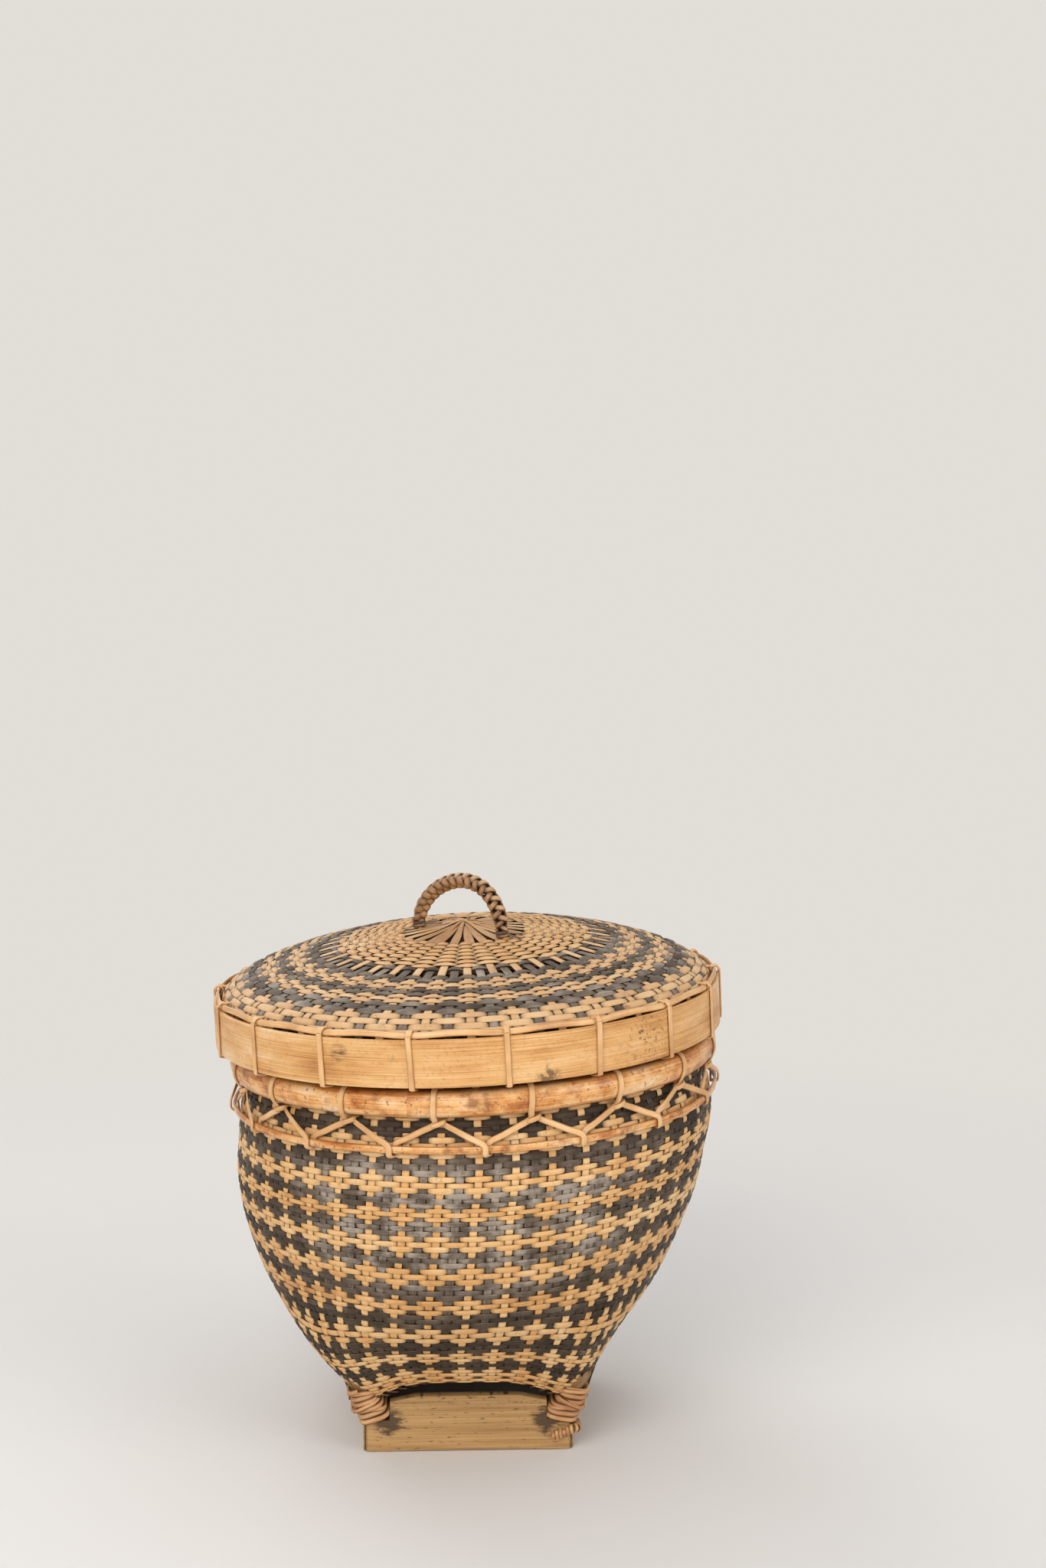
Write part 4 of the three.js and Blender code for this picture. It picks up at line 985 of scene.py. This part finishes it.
def rim_lashing():
    pitch = TURN / RIM_STATIONS
    top = HOOP_HEIGHT + STRAND_OUT
    inner = RIM_RADIUS - WALL - FIT_GAP - INNER_HOOP_THICKNESS - STRAND_OUT
    entry = [-STRAND_SPREAD, RIM_RADIUS + 4.2, -ZIGZAG_TOP, 1, 0]
    leave = [STRAND_SPREAD, RIM_RADIUS + 3.4, -ZIGZAG_TOP, 1, -0.3]
    over = []
    for k, angle in enumerate((-45 * DEGREE, 0, 45 * DEGREE)):
        shift = -STRAND_SPREAD * (1 - k / 6)
        over.append([shift, *hoop_bow(angle), math.cos(angle), math.sin(angle)])
    through = [
        [-STRAND_SPREAD / 2, RIM_RADIUS + 3, top, 0.2, 1],
        [0, inner, top, -1, 1],
        [STRAND_SPREAD / 2, inner, -STRAND_OUT, -1, -1],
        [STRAND_SPREAD, RIM_RADIUS + 2, -STRAND_OUT - 0.5, 0.3, -1],
    ]
    front = TIE_INSIDE + TIE_THICKNESS + STRAND_OUT
    behind = TIE_INSIDE - 1.2
    low = -TIE_DROP - TIE_HEIGHT / 2 - STRAND_OUT
    high = -TIE_DROP + TIE_HEIGHT / 2
    stitch = [
        [-1.2, front, high + 0.8, 1, 0.2],
        [-0.6, front, low + 0.6, 1, -0.2],
        [1.2, behind, low, 0.4, -1],
        [1.6, behind, high + 1.0, 1, 0.2],
    ]
    places = []
    for k in range(RIM_STATIONS):
        station = RIM_FIRST + k * pitch
        foot = station + pitch * (0.5 + random.normal(0, 0.02))
        places += [(station, place) for place in (entry, *over, *through, leave)]
        places += [between((station, leave), (foot, stitch[0]), share) for share in (1 / 3, 2 / 3)]
        places += [(foot, place) for place in stitch]
        places += [between((foot, stitch[-1]), (station + pitch, entry), share) for share in (1 / 3, 2 / 3)]
    middle, faces = lashed(places)
    cane = strip(middle, faces, CANE_WIDTH, CANE_THICKNESS)
    build("rim_strand", [cane], CANE_SECTION, LASHING, RIM_FRAME, "rim_lashing")
    knots = [hitch(RIM_FIRST + k * pitch) for k in range(RIM_STATIONS)]
    build("rim_hitches", knots, CANE_SECTION, LASHING, RIM_FRAME)


def hitch(angle):
    """One small turn of cane round the strands at a station."""
    way = np.linspace(0, TURN, 24, endpoint=False)
    half_wide, half_deep = HITCH_HALF
    radius = RIM_RADIUS + HITCH_OUT
    along = half_wide * np.cos(way)
    turn = angle + (HITCH_SHIFT + along) / radius
    height = -ZIGZAG_TOP + HITCH_UP + along * math.tan(HITCH_SLOPE)
    middle = around(turn, radius + half_deep * np.sin(way), height)
    sideways = np.stack([-np.sin(turn), np.cos(turn), 0 * turn], 1)
    out = around(turn, np.sin(way) / half_deep, 0 * way) + np.cos(way)[:, None] / half_wide * sideways
    return strip(middle, unit(out), HITCH_WIDTH, 1.0, closed=True)


# Lid weave: spokes from the middle and rings of weft
LID_R = DOME_RADIUS - DOME_MIDDLE
LID_RISE = DOME_RISE - DOME_MIDDLE
LID_EDGE = LID_R - 0.02


def dome(angle, radius):
    angle, radius = np.broadcast_arrays(angle, np.minimum(radius, LID_EDGE))
    height = BAND_HEIGHT + LID_RISE * np.sqrt(1 - (radius / LID_R) ** DOME_POWER)
    dip = math.tan(DOME_SAG) * (1 - np.minimum(1, radius / SAG_REACH) ** SAG_FADE)
    peak = PEAK * np.exp(-(radius / PEAK_REACH) ** 2)
    return around(angle, radius, height + radius * np.sin(angle) * dip + peak)


def dome_out(angle, radius):
    angle, radius = np.broadcast_arrays(angle, np.minimum(radius, LID_EDGE))
    share = radius / LID_R
    fall = LID_RISE * DOME_POWER * share ** (DOME_POWER - 1) / (2 * LID_R * np.sqrt(1 - share**DOME_POWER))
    return unit(around(angle, fall, 1))


def lid_rows():
    """Each row's radius, pitch, colour, zone, and whether it starts over an even or an odd spoke."""
    pitch = (INNER_EDGE - BARE_RADIUS) / INNER_ROWS
    rows = [(BARE_RADIUS + (k + 0.5) * pitch, pitch, "T", ("inner", k % 2)) for k in range(INNER_ROWS)]
    rows.append((OPEN_ROW, pitch, "B", ("outer", 1)))
    pitches = np.gradient(np.array(OUTER_ROWS))
    for k, (radius, colour) in enumerate(zip(OUTER_ROWS, OUTER_COLOURS)):
        rows.append((radius, pitches[k], colour, ("outer" if radius < EDGE_START else "edge", k % 2)))
    return rows


LID_CRESTS = {
    "inner": (INNER_CREST, RING_WAVE),
    "outer": (RING_CREST, RING_WAVE),
    "edge": (BODY_CREST, WEFT_WAVE),
}


def lid_weft(radius, pitch, zone, parity):
    spokes = SPOKES if zone == "inner" else 2 * SPOKES
    profile, rise = LID_CRESTS[zone]
    index, wave, wide, deep = crests(profile, spokes)
    angle = FRONT + LID_TURN + (index + parity) * TURN / spokes
    out = dome_out(angle, radius)
    middle = dome(angle, radius + random.normal(0, ROW_UNEVEN)) + out * (wave * rise)[:, None]
    slope = np.minimum(np.abs(1 / out[:, 2]), STEEPEST)
    rough, tone = dashes(index, spokes)
    if zone == "inner":
        deep = np.minimum(1, deep + INNER_SHADE)
    return strip(middle, out, pitch * slope * wide * rough, SPLINT, closed=True, deep=deep, tone=tone)


def spoke_line(angle, rows, number, inner_end):
    """A spoke from the bare middle or from the open row out over the edge and down the skirt."""
    radii, waves = [], []
    for radius, _, _, (zone, parity) in rows:
        if radius < inner_end:
            continue
        over = (number // 2 + parity) % 2 == 0 if zone == "inner" else (number + parity) % 2 == 0
        radii.append(radius)
        waves.append(-1.0 if over else 1.0)
    halves = np.arange(0, len(radii) - 0.5, 0.5)
    places = np.interp(halves, np.arange(len(radii)), radii)
    curve = np.interp(halves, np.arange(len(radii)), waves)
    bare = (places > OPEN_ROW + 1) & (places < OUTER_ROWS[0] - 1)
    middle = dome(angle, places) + dome_out(angle, places) * (curve * SPOKE_WAVE)[:, None]
    skirt = around(angle, LID_R, np.array(SKIRT))
    out = np.concatenate([dome_out(angle, places), around(angle, np.ones(len(SKIRT)), 0)])
    # Painted shade where a spoke dives under, none in the open row, some on the skirt behind the band
    deep = np.concatenate([np.where(bare, 0, np.clip(0.4 - 0.5 * curve, 0, 1)), np.full(len(SKIRT), 0.5)])
    return strip(np.concatenate([middle, skirt]), out, SPOKE_WIDTH, SPLINT, deep=deep)


def bare_middle():
    """Wide strips that cross in the bare middle of the lid, lying over one another in a low peak."""
    strips = []
    for k in range(BARE_STRIPS):
        angle = FRONT + (k + 0.5) * math.pi / BARE_STRIPS + random.normal(0, 0.03)
        reach = BARE_RADIUS + BARE_OVERLAP
        signed = np.linspace(-reach, reach, 41)
        away = np.abs(signed)
        lift = 0.2 * (k * 5 % BARE_STRIPS) * np.exp(-((away / 11) ** 2))
        lift = lift + 0.5 * np.cos(away / reach * math.pi / 2)
        turn = np.where(signed < 0, angle + math.pi, angle)
        middle = dome(turn, away) + np.outer(lift, UP)
        width = BARE_WIDTH * (0.42 + 0.58 * smooth(away, 3, 28))
        roll = random.normal(0, 0.12)
        out = np.array([-roll * math.sin(angle), roll * math.cos(angle), 1.0])
        # Painted shade at the ends, where the strips go under the rows
        deep = 0.28 + 0.72 * smooth(away, reach - 6, reach)
        strips.append(strip(middle, out, width, LINING_THICKNESS, deep=deep))
    return strips


def lid_lining():
    """Plain splints under the dome, left out below the open row."""
    strips = []
    for low, high in ((3, OPEN_ROW), (OUTER_ROWS[0], LID_R - 1)):
        radius = np.linspace(low, high, 12)
        for k in range(SPOKES):
            angle = FRONT + k * TURN / SPOKES
            out = dome_out(angle, radius)
            inset = LID_LINING_INSET + LINING_THICKNESS * (k % 2)
            middle = dome(angle, radius) - out * inset
            # Painted shade, deepest under the bare middle
            deep = 1 - 0.45 * smooth(radius, BARE_RADIUS, BARE_RADIUS + 14)
            width = LID_LINING_LAP * TURN * radius / SPOKES
            strips.append(strip(middle, out, width, LINING_THICKNESS, deep=deep))
    return strips


def lid_weave():
    rows = lid_rows()
    wefts = {"T": [], "B": [], "inner": []}
    for radius, pitch, colour, (zone, parity) in rows:
        wefts["inner" if zone == "inner" else colour].append(lid_weft(radius, pitch, zone, parity))
    spokes = {0: [], 1: []}
    for number in range(2 * SPOKES):
        angle = FRONT + LID_TURN + number * TURN / (2 * SPOKES)
        inner_end = INNER_EDGE if number % 2 else BARE_RADIUS
        spokes[number % 2].append(spoke_line(angle, rows, number, inner_end))
    woven = {
        "wefts_tan": (wefts["T"], LID_TAN),
        "wefts_inner": (wefts["inner"], INNER_TAN),
        "wefts_black": (wefts["B"], LID_BLACK),
        "spokes_tan": (spokes[0], LID_TAN),
        "spokes_black": (spokes[1], LID_BLACK),
        "bare_middle": (bare_middle(), INNER_TAN),
        "lining": (lid_lining(), SHADED_TAN),
    }
    for kind, (strips, paint) in woven.items():
        build(f"lid_{kind}", strips, SPLINT_SECTION, paint, LID_FRAME, "lid_dome")


def lid_bands():
    middle = BAND_RADIUS - BAND_THICKNESS / 2
    outer = hoop(middle, BAND_HEIGHT / 2, BAND_HEIGHT, BAND_THICKNESS, BAND_SEAM)
    build("lid_band_bent", [outer], BAND_SECTION, BAMBOO, LID_FRAME, "lid_band")
    inside = DOME_RADIUS - DOME_WALL - FIT_GAP - INNER_BAND_THICKNESS / 2
    inner = hoop(inside, INNER_BAND_HEIGHT / 2, INNER_BAND_HEIGHT, INNER_BAND_THICKNESS, INNER_BAND_SEAM)
    build("lid_band_inside", [inner], BAND_SECTION, BAMBOO, LID_FRAME, "lid_inner_band")


def lid_lashing():
    """A strand along the band's top, held at each station by a strap round the band and a curl of cane."""
    pitch = TURN / LID_STATIONS
    share = np.arange(LID_STATIONS * 12) / 12
    lifted = np.sin(math.pi * share) ** 2
    run_radius = BAND_RADIUS - RUN_IN - 0.5 * lifted
    height = BAND_HEIGHT + RUN_LOW + (RUN_HIGH - RUN_LOW) * lifted
    turn = LID_FIRST + share * pitch
    line = around(turn, run_radius, height)
    run = strip(line, around(turn, 1, 0.3), RUN_WIDTH, RUN_THICKNESS, closed=True)
    build("lid_strand", [run], CANE_SECTION, LASHING, LID_FRAME, "lid_lashing")
    outside = BAND_RADIUS + STRAND_OUT
    inside = DOME_RADIUS - DOME_WALL - FIT_GAP - INNER_BAND_THICKNESS - STRAND_OUT
    high = BAND_HEIGHT + RUN_LOW
    loop = [
        [0, outside, high, 1, 0.2],
        [0, outside, BAND_HEIGHT * 0.75, 1, 0],
        [0, outside, BAND_HEIGHT * 0.4, 1, 0],
        [0, outside, 1.2, 1, -0.1],
        [0, outside - 1.2, -STRAND_OUT, 0.3, -1],
        [0, inside, -STRAND_OUT, -1, -1],
        [0, inside, BAND_HEIGHT * 0.5, -1, 0],
        [0, inside + 1, high, -1, 0.5],
        [0, BAND_RADIUS - 3.4, high + 2.0, -0.3, 1],
        [0, BAND_RADIUS - 1.0, high + 1.9, 0.6, 1],
        [0, outside, high, 1, 0.2],
    ]
    straps, curls = [], []
    for k in range(LID_STATIONS):
        station = LID_FIRST + k * pitch
        slant = random.normal(0, 0.5)
        places = [(station, [slant * (place[2] / BAND_HEIGHT - 0.5), *place[1:]]) for place in loop]
        middle, faces = lashed(places)
        straps.append(strip(middle, faces, STRAP_WIDTH + random.normal(0, 0.15), CANE_THICKNESS))
        curls.append(curl(station, BAND_RADIUS - RUN_IN, high))
    build("lid_straps", straps, CANE_SECTION, LASHING, LID_FRAME)
    build("lid_curls", curls, CANE_SECTION, LASHING, LID_FRAME)


def curl(angle, radius, height):
    """A small coil of cane round the lid's strand."""
    way = np.linspace(-CURL_HALF, CURL_HALF, 40)
    turn = angle + CURL_PITCH * way / radius
    swing = TURN * way
    size = CURL_RADIUS * (1 + 0.12 * np.cos(3 * way + angle))
    middle = around(turn, radius + size * np.cos(swing), height + size * np.sin(swing))
    out = around(turn, np.cos(swing), np.sin(swing))
    return strip(middle, out, CURL_WIDTH, 1.0)


# Handle: four flat strands plaited round
def handle():
    foot = BAND_HEIGHT + DOME_RISE * math.sqrt(1 - (HANDLE_HALF_SPAN / DOME_RADIUS) ** DOME_POWER)
    way = np.linspace(0, math.pi, 60)
    reach = HANDLE_SKEW * np.sin(way) ** 2 - HANDLE_HALF_SPAN * np.cos(way)
    arch = np.stack([reach, foot + HANDLE_RISE * np.sin(way)], 1)
    tail = np.linspace(-TAIL_LENGTH, -1, 8)
    left = np.stack([np.full(8, -HANDLE_HALF_SPAN), foot + tail], 1)
    right = np.stack([np.full(8, HANDLE_HALF_SPAN), foot + tail[::-1]], 1)
    line = np.concatenate([left, arch, right])
    length = lengths(line)
    s = np.linspace(0, length[-1], 220)
    line = np.stack([np.interp(s, length, line[:, k]) for k in (0, 1)], 1)
    along = unit(np.gradient(line, axis=0))
    rotation = turned_z(HANDLE_YAW)
    shift = np.array([*HANDLE_PLACE, 0])
    middle = np.stack([line[:, 0], 0 * s, line[:, 1]], 1) @ rotation.T + shift
    normal = np.stack([-along[:, 1], 0 * s, along[:, 0]], 1) @ rotation.T
    sideways = rotation @ np.array([0.0, 1.0, 0.0])
    slack = smooth(s, 0.5 * s[-1], 0.7 * s[-1])
    from_end = np.minimum(s, s[-1] - s)
    slim = FOOT_SLIM + (1 - FOOT_SLIM) * smooth(from_end, TAIL_LENGTH, TAIL_LENGTH + SLIM_REACH)
    strands = []
    for direction in (1, -1):
        for phase in (0, math.pi):
            turn = direction * TURN * s / BRAID_LAY + phase
            out = np.cos(turn)[:, None] * normal + np.sin(turn)[:, None] * sideways
            wave = direction * np.cos(2 * TURN * s / BRAID_LAY)
            away = slim * (BRAID_RADIUS + SLACK_OUT * slack + BRAID_WAVE * wave)
            width = slim * (BRAID_WIDTH - SLACK_NARROW * slack)
            # Painted shade where a strand dives under, more towards the feet
            under = np.clip(0.95 - 0.4 * slim - 0.7 * wave, 0, 1)
            strands.append(strip(middle + out * away[:, None], out, width, BRAID_THICKNESS, deep=under))
    core = s < CORE_SHARE * s[-1]
    # The core is in full painted shade
    strands.append(strip(middle[core], sideways, CORE_WIDTH, CORE_THICKNESS, deep=1.0))
    build("handle_braid", strands, CANE_SECTION, PLAIT, LID_FRAME, "lid_handle")
    for side, name in ((-1, "left"), (1, "right")):
        place = rotation @ np.array([side * HANDLE_HALF_SPAN, 0, 0]) + shift
        coils = handle_foot(side, place)
        build(f"handle_binding_{name}", coils, CANE_SECTION, PLAIT, LID_FRAME, f"handle_knot_{name}")


def handle_foot(side, place):
    """Coils round a foot of the handle, under and over the dome, and the loose ends that lie on it."""
    ground = dome(math.atan2(place[1], place[0]), math.hypot(place[0], place[1]))[2]
    turns = np.linspace(0, FOOT_TURNS * TURN, 64)
    # Painted shade on the coils and the loose ends
    deep = 0.7 + 0.25 * np.sin(turns * 0.7)
    made = []
    for low, pitch, base in FOOT_COILS:
        radius = base + 0.3 * np.sin(turns * 1.3 + side)
        line = around(turns, radius, ground + low + pitch * turns / TURN) + place
        made.append(strip(line, around(turns, 1, 0), FOOT_WIDTH, 1.0, deep=deep))
    for way in LOOSE_WAYS:
        reach = np.linspace(2, 11 + 3 * random.random(), 8)
        spot = place[:2] + reach[:, None] * [math.cos(way), math.sin(way)]
        line = dome(np.arctan2(spot[:, 1], spot[:, 0]), np.linalg.norm(spot, axis=1))
        line[:, 2] += 1.6 + 3 * np.exp(-reach / 4)
        made.append(strip(line, UP, 1.7, 0.7, deep=0.6))
    return made


# Base frame
BOARD_TOP = [(0, 31.6), (28, 31.6), (42.5, 28.6), (42.7, 18), (48.3, 18), (48.5, 29.4), (60, 29.4)]


def board(quarter):
    """One board, from mitre to mitre, its top worn down towards the notches for the lashing."""
    half = BASE_SIDE / 2
    line_half = half - BOARD_THICKNESS / 2
    bend = BOARD_CORNER - BOARD_THICKNESS / 2
    flat = [x for x, _ in BOARD_TOP if x < line_half - bend] + [10, 20, 35, 46, 51]
    xs = np.array(sorted({*flat, *(-x for x in flat)}))
    straight = np.stack([xs, np.full_like(xs, -line_half)], 1)
    turn = np.linspace(0, 43 * DEGREE, 6)[1:]
    right = np.stack([line_half - bend + bend * np.sin(turn), bend - line_half - bend * np.cos(turn)], 1)
    left = right[::-1] * [-1, 1]
    flat_line = np.concatenate([left, straight, right])
    look = np.concatenate([-turn[::-1], 0 * xs, turn])
    top = np.interp(np.abs(flat_line[:, 0]), *zip(*BOARD_TOP))
    out = np.stack([np.sin(look), -np.cos(look), 0 * look], 1)
    middle = np.concatenate([flat_line, (top / 2)[:, None]], 1)
    return turned(strip(middle, out, top, BOARD_THICKNESS, upright=True), quarter)


CORNERS = ["front_right", "back_right", "back_left", "front_left"]
LOOP_HALF = 8.4  # of the lowest turn
LOOP_SHRINK = 0.1  # for each millimetre up
LOOP_MIDDLE = 49.3
LOOP_POWER = 4
LOOP_TILT = -0.5  # the turns dip towards the outer edge of the corner
LOOP_SPLAY = 0.45  # the turns move out with the wall's corner, from this height
SPLAY_START = 18
CORNER_WIDTH = 3.1
CORNER_START = 19
CORNER_PITCH = 3.5
CORNER_TURNS = 5.6
UNDER_TURNS = 5
UNDER_INSET = 1.2
CROSSING_TURNS = 1.02
CROSSING_PITCH = 0.8
CROSSING_OUT = 0.6
CROSSING_WIDTH = 2.5
KNOT_RADIUS = 2.0
KNOT_PITCH = 2.1
KNOT_FRONT = [(46, 8.5), (52, 10.5), (57, 12.5)]  # along the board and up
KNOT_SIDE = [(57, 12.5), (50, 12), (45, 11)]
STAKE_WIDTH = 3.6
STAKE_THICKNESS = 1.6
STAKES = [(-4.2, -4.2), (-1.4, -4), (1.6, -4.3), (4, -1.5), (4.3, 1.6), (0, 0), (2.5, -2)]
LOOP_STEPS = 28
LOOP_UNEVEN = 0.3
LOOP_THICKNESS = 1.3
CROSSINGS = [(25, -0.1), (31, -0.95), (36, -0.2)]  # heights and tilts of single turns on top


def corner_winding(turns, start, pitch, half, tilt=LOOP_TILT, width=CORNER_WIDTH, deep=0.0):
    """Turns of cane round the front right corner's stakes."""
    way = np.arange(round(turns * LOOP_STEPS) + 1) / LOOP_STEPS
    angle = way * TURN + 0.75 * math.pi
    uneven = random.normal(0, LOOP_UNEVEN, (2, math.ceil(turns) * 3 + 2))
    bump, shift = (np.interp(way * 3, np.arange(len(line)), line) for line in uneven)
    height = start + way * pitch + shift
    rise = np.maximum(0, height - SPLAY_START)
    radius = square_radius(angle, half - LOOP_SHRINK * rise + bump, LOOP_POWER)
    place = LOOP_MIDDLE + LOOP_SPLAY * rise
    x, y = radius * np.cos(angle), radius * np.sin(angle)
    out = np.stack([np.cos(angle), np.sin(angle), 0.25 + 0 * angle], 1)
    height = height + tilt * (x - y) / 2
    # Painted shade on the turns' far side, where they go behind the corner
    hidden = smooth(y - x, 0.6 * LOOP_HALF, 1.6 * LOOP_HALF)
    middle = np.stack([place + x, y - place, height], 1)
    return strip(middle, out, width, LOOP_THICKNESS, deep=np.maximum(deep, 0.8 * hidden))


def corner_knot():
    """A short coil of cane that lies round the front right corner, below its lashing."""
    out = BASE_SIDE / 2 + KNOT_RADIUS
    path = spline([(x, -out, z) for x, z in KNOT_FRONT] + [(out, -y, z) for y, z in KNOT_SIDE], 26)
    along = unit(np.gradient(path, axis=0))
    swing = TURN * lengths(path) / KNOT_PITCH
    level = unit(np.cross(along, UP))
    face = level * np.cos(swing)[:, None] + np.cross(level, along) * np.sin(swing)[:, None]
    size = KNOT_RADIUS * (1 + 0.12 * np.sin(2.7 * swing))
    return strip(path + face * size[:, None], face, CROSSING_WIDTH, 1.0)


def stakes():
    """Splint ends bundled in the front right corner, under the lashing."""
    bundle = []
    for k, (across, deep) in enumerate(STAKES):
        height = np.linspace(22 if k % 2 else 32, 44 + k % 3, 8)
        place = LOOP_MIDDLE + LOOP_SPLAY * np.maximum(0, height - SPLAY_START)
        middle = np.stack([place + across, deep - place, height], 1)
        out = unit(np.array([across + 2.0, deep - 2.0, 0.3]))
        # Painted shade on the stakes, under the lashing
        bundle.append(strip(middle, out, STAKE_WIDTH, STAKE_THICKNESS, deep=0.75))
    return bundle


def turned(one, quarter):
    """A strip, so many quarter turns on round the base."""
    rotation = turned_z(quarter * TURN / 4)
    return {**one, "middle": one["middle"] @ rotation.T, "out": one["out"] @ rotation.T}


def base_frame():
    for quarter, side in enumerate(("front", "right", "back", "left")):
        build(f"board_{side}", [board(quarter)], BAND_SECTION, WOOD, BASE_FRAME, f"base_board_{side}")
    for quarter, corner in enumerate(CORNERS):
        canes = [corner_winding(CORNER_TURNS, CORNER_START, CORNER_PITCH, LOOP_HALF)]
        under = CORNER_START + CORNER_PITCH / 2
        # The under winding is in painted shade
        canes.append(corner_winding(UNDER_TURNS, under, CORNER_PITCH, LOOP_HALF - UNDER_INSET, deep=0.8))
        for start, tilt in CROSSINGS:
            half = LOOP_HALF + CROSSING_OUT
            canes.append(corner_winding(
                CROSSING_TURNS, start, CROSSING_PITCH, half, tilt, CROSSING_WIDTH))
        canes = [turned(cane, quarter) for cane in canes]
        build(f"winding_{corner}", canes, CANE_SECTION, OLD_CANE, BASE_FRAME, f"corner_lashing_{corner}")
        bundle = [turned(one, quarter) for one in stakes()]
        build(f"stakes_{corner}", bundle, SPLINT_SECTION, TAN, BASE_FRAME, f"corner_stakes_{corner}")
    knot = [corner_knot()]
    build("winding_low_front_right", knot, CANE_SECTION, OLD_CANE, BASE_FRAME, "corner_knot_front_right")


# Stage, light and camera
def stage():
    """A pale floor that curves up into a wall all round."""
    flat, bend, high = 2.2, 1.0, 4.0
    turn = np.linspace(0, math.pi / 2, 13)
    profile = [(0.2, 0.0), (0.5, 0.0), (1.2, 0.0)]
    profile += [(flat + bend * math.sin(a), bend - bend * math.cos(a)) for a in turn]
    profile += [(flat + bend, high)]
    count = 96
    angle = TURN * np.arange(count) / count
    points = np.concatenate([around(angle, radius, height) for radius, height in profile])
    k, j, after, beside = grid(len(profile), count, False)
    quads = [k * count + j, k * count + beside, after * count + beside, after * count + j]
    faces = [*np.stack(quads, 1).tolist(), list(reversed(range(count)))]
    paint = stage_paint("floor_paint", (0.76, 0.75, 0.737), (0.755, 0.73, 0.69))
    floor = add("floor", mesh_of("floor", points, faces, paint))


def area_light(name, place, target, size, power, colour=(1, 1, 1)):
    lamp = bpy.data.lights.new(name, "AREA")
    lamp.shape = "DISK"
    lamp.size = size
    lamp.energy = power
    lamp.color = colour
    piece = add(name, lamp)
    piece.location = place
    way = np.array(target) - np.array(place)
    flat = math.hypot(way[0], way[1])
    piece.rotation_euler = (math.atan2(flat, -way[2]), 0, math.atan2(way[1], way[0]) - math.pi / 2)


def light():
    middle = (0, 0, 0.16)
    area_light("key", (-0.7, -1.7, 1.2), middle, 1.6, 24.5, (1.0, 0.97, 0.93))
    area_light("fill", (1.5, -1.1, 0.9), middle, 1.4, 10.5, (1.0, 0.99, 0.97))
    area_light("window", (-0.9, 1.3, 1.5), middle, 1.4, 10)
    world = bpy.data.worlds.new("studio")
    world.use_nodes = True
    sky = world.node_tree.nodes["Background"].inputs
    sky["Color"].default_value = (0.99, 0.99, 1.0, 1)
    sky["Strength"].default_value = 0.8
    bpy.context.scene.world = world


CAMERA_PLACE = (0.029, -1.1947, 0.490)
CAMERA_PITCH = 6.28 * DEGREE
LENS = 50
FILM = 36


def camera():
    lens = bpy.data.cameras.new("camera")
    lens.sensor_fit = "VERTICAL"
    lens.sensor_height = FILM
    lens.lens = LENS
    lens.clip_start = 0.05
    piece = add("camera", lens)
    piece.location = CAMERA_PLACE
    piece.rotation_euler = (math.pi / 2 - CAMERA_PITCH, 0, 0)
    bpy.context.scene.camera = piece


camera()
light()
stage()
body_weave()
floor_weave()
rim_hoops()
rim_lashing()
lid_weave()
lid_bands()
lid_lashing()
handle()
base_frame()
bpy.context.scene.view_settings.view_transform = "Standard"
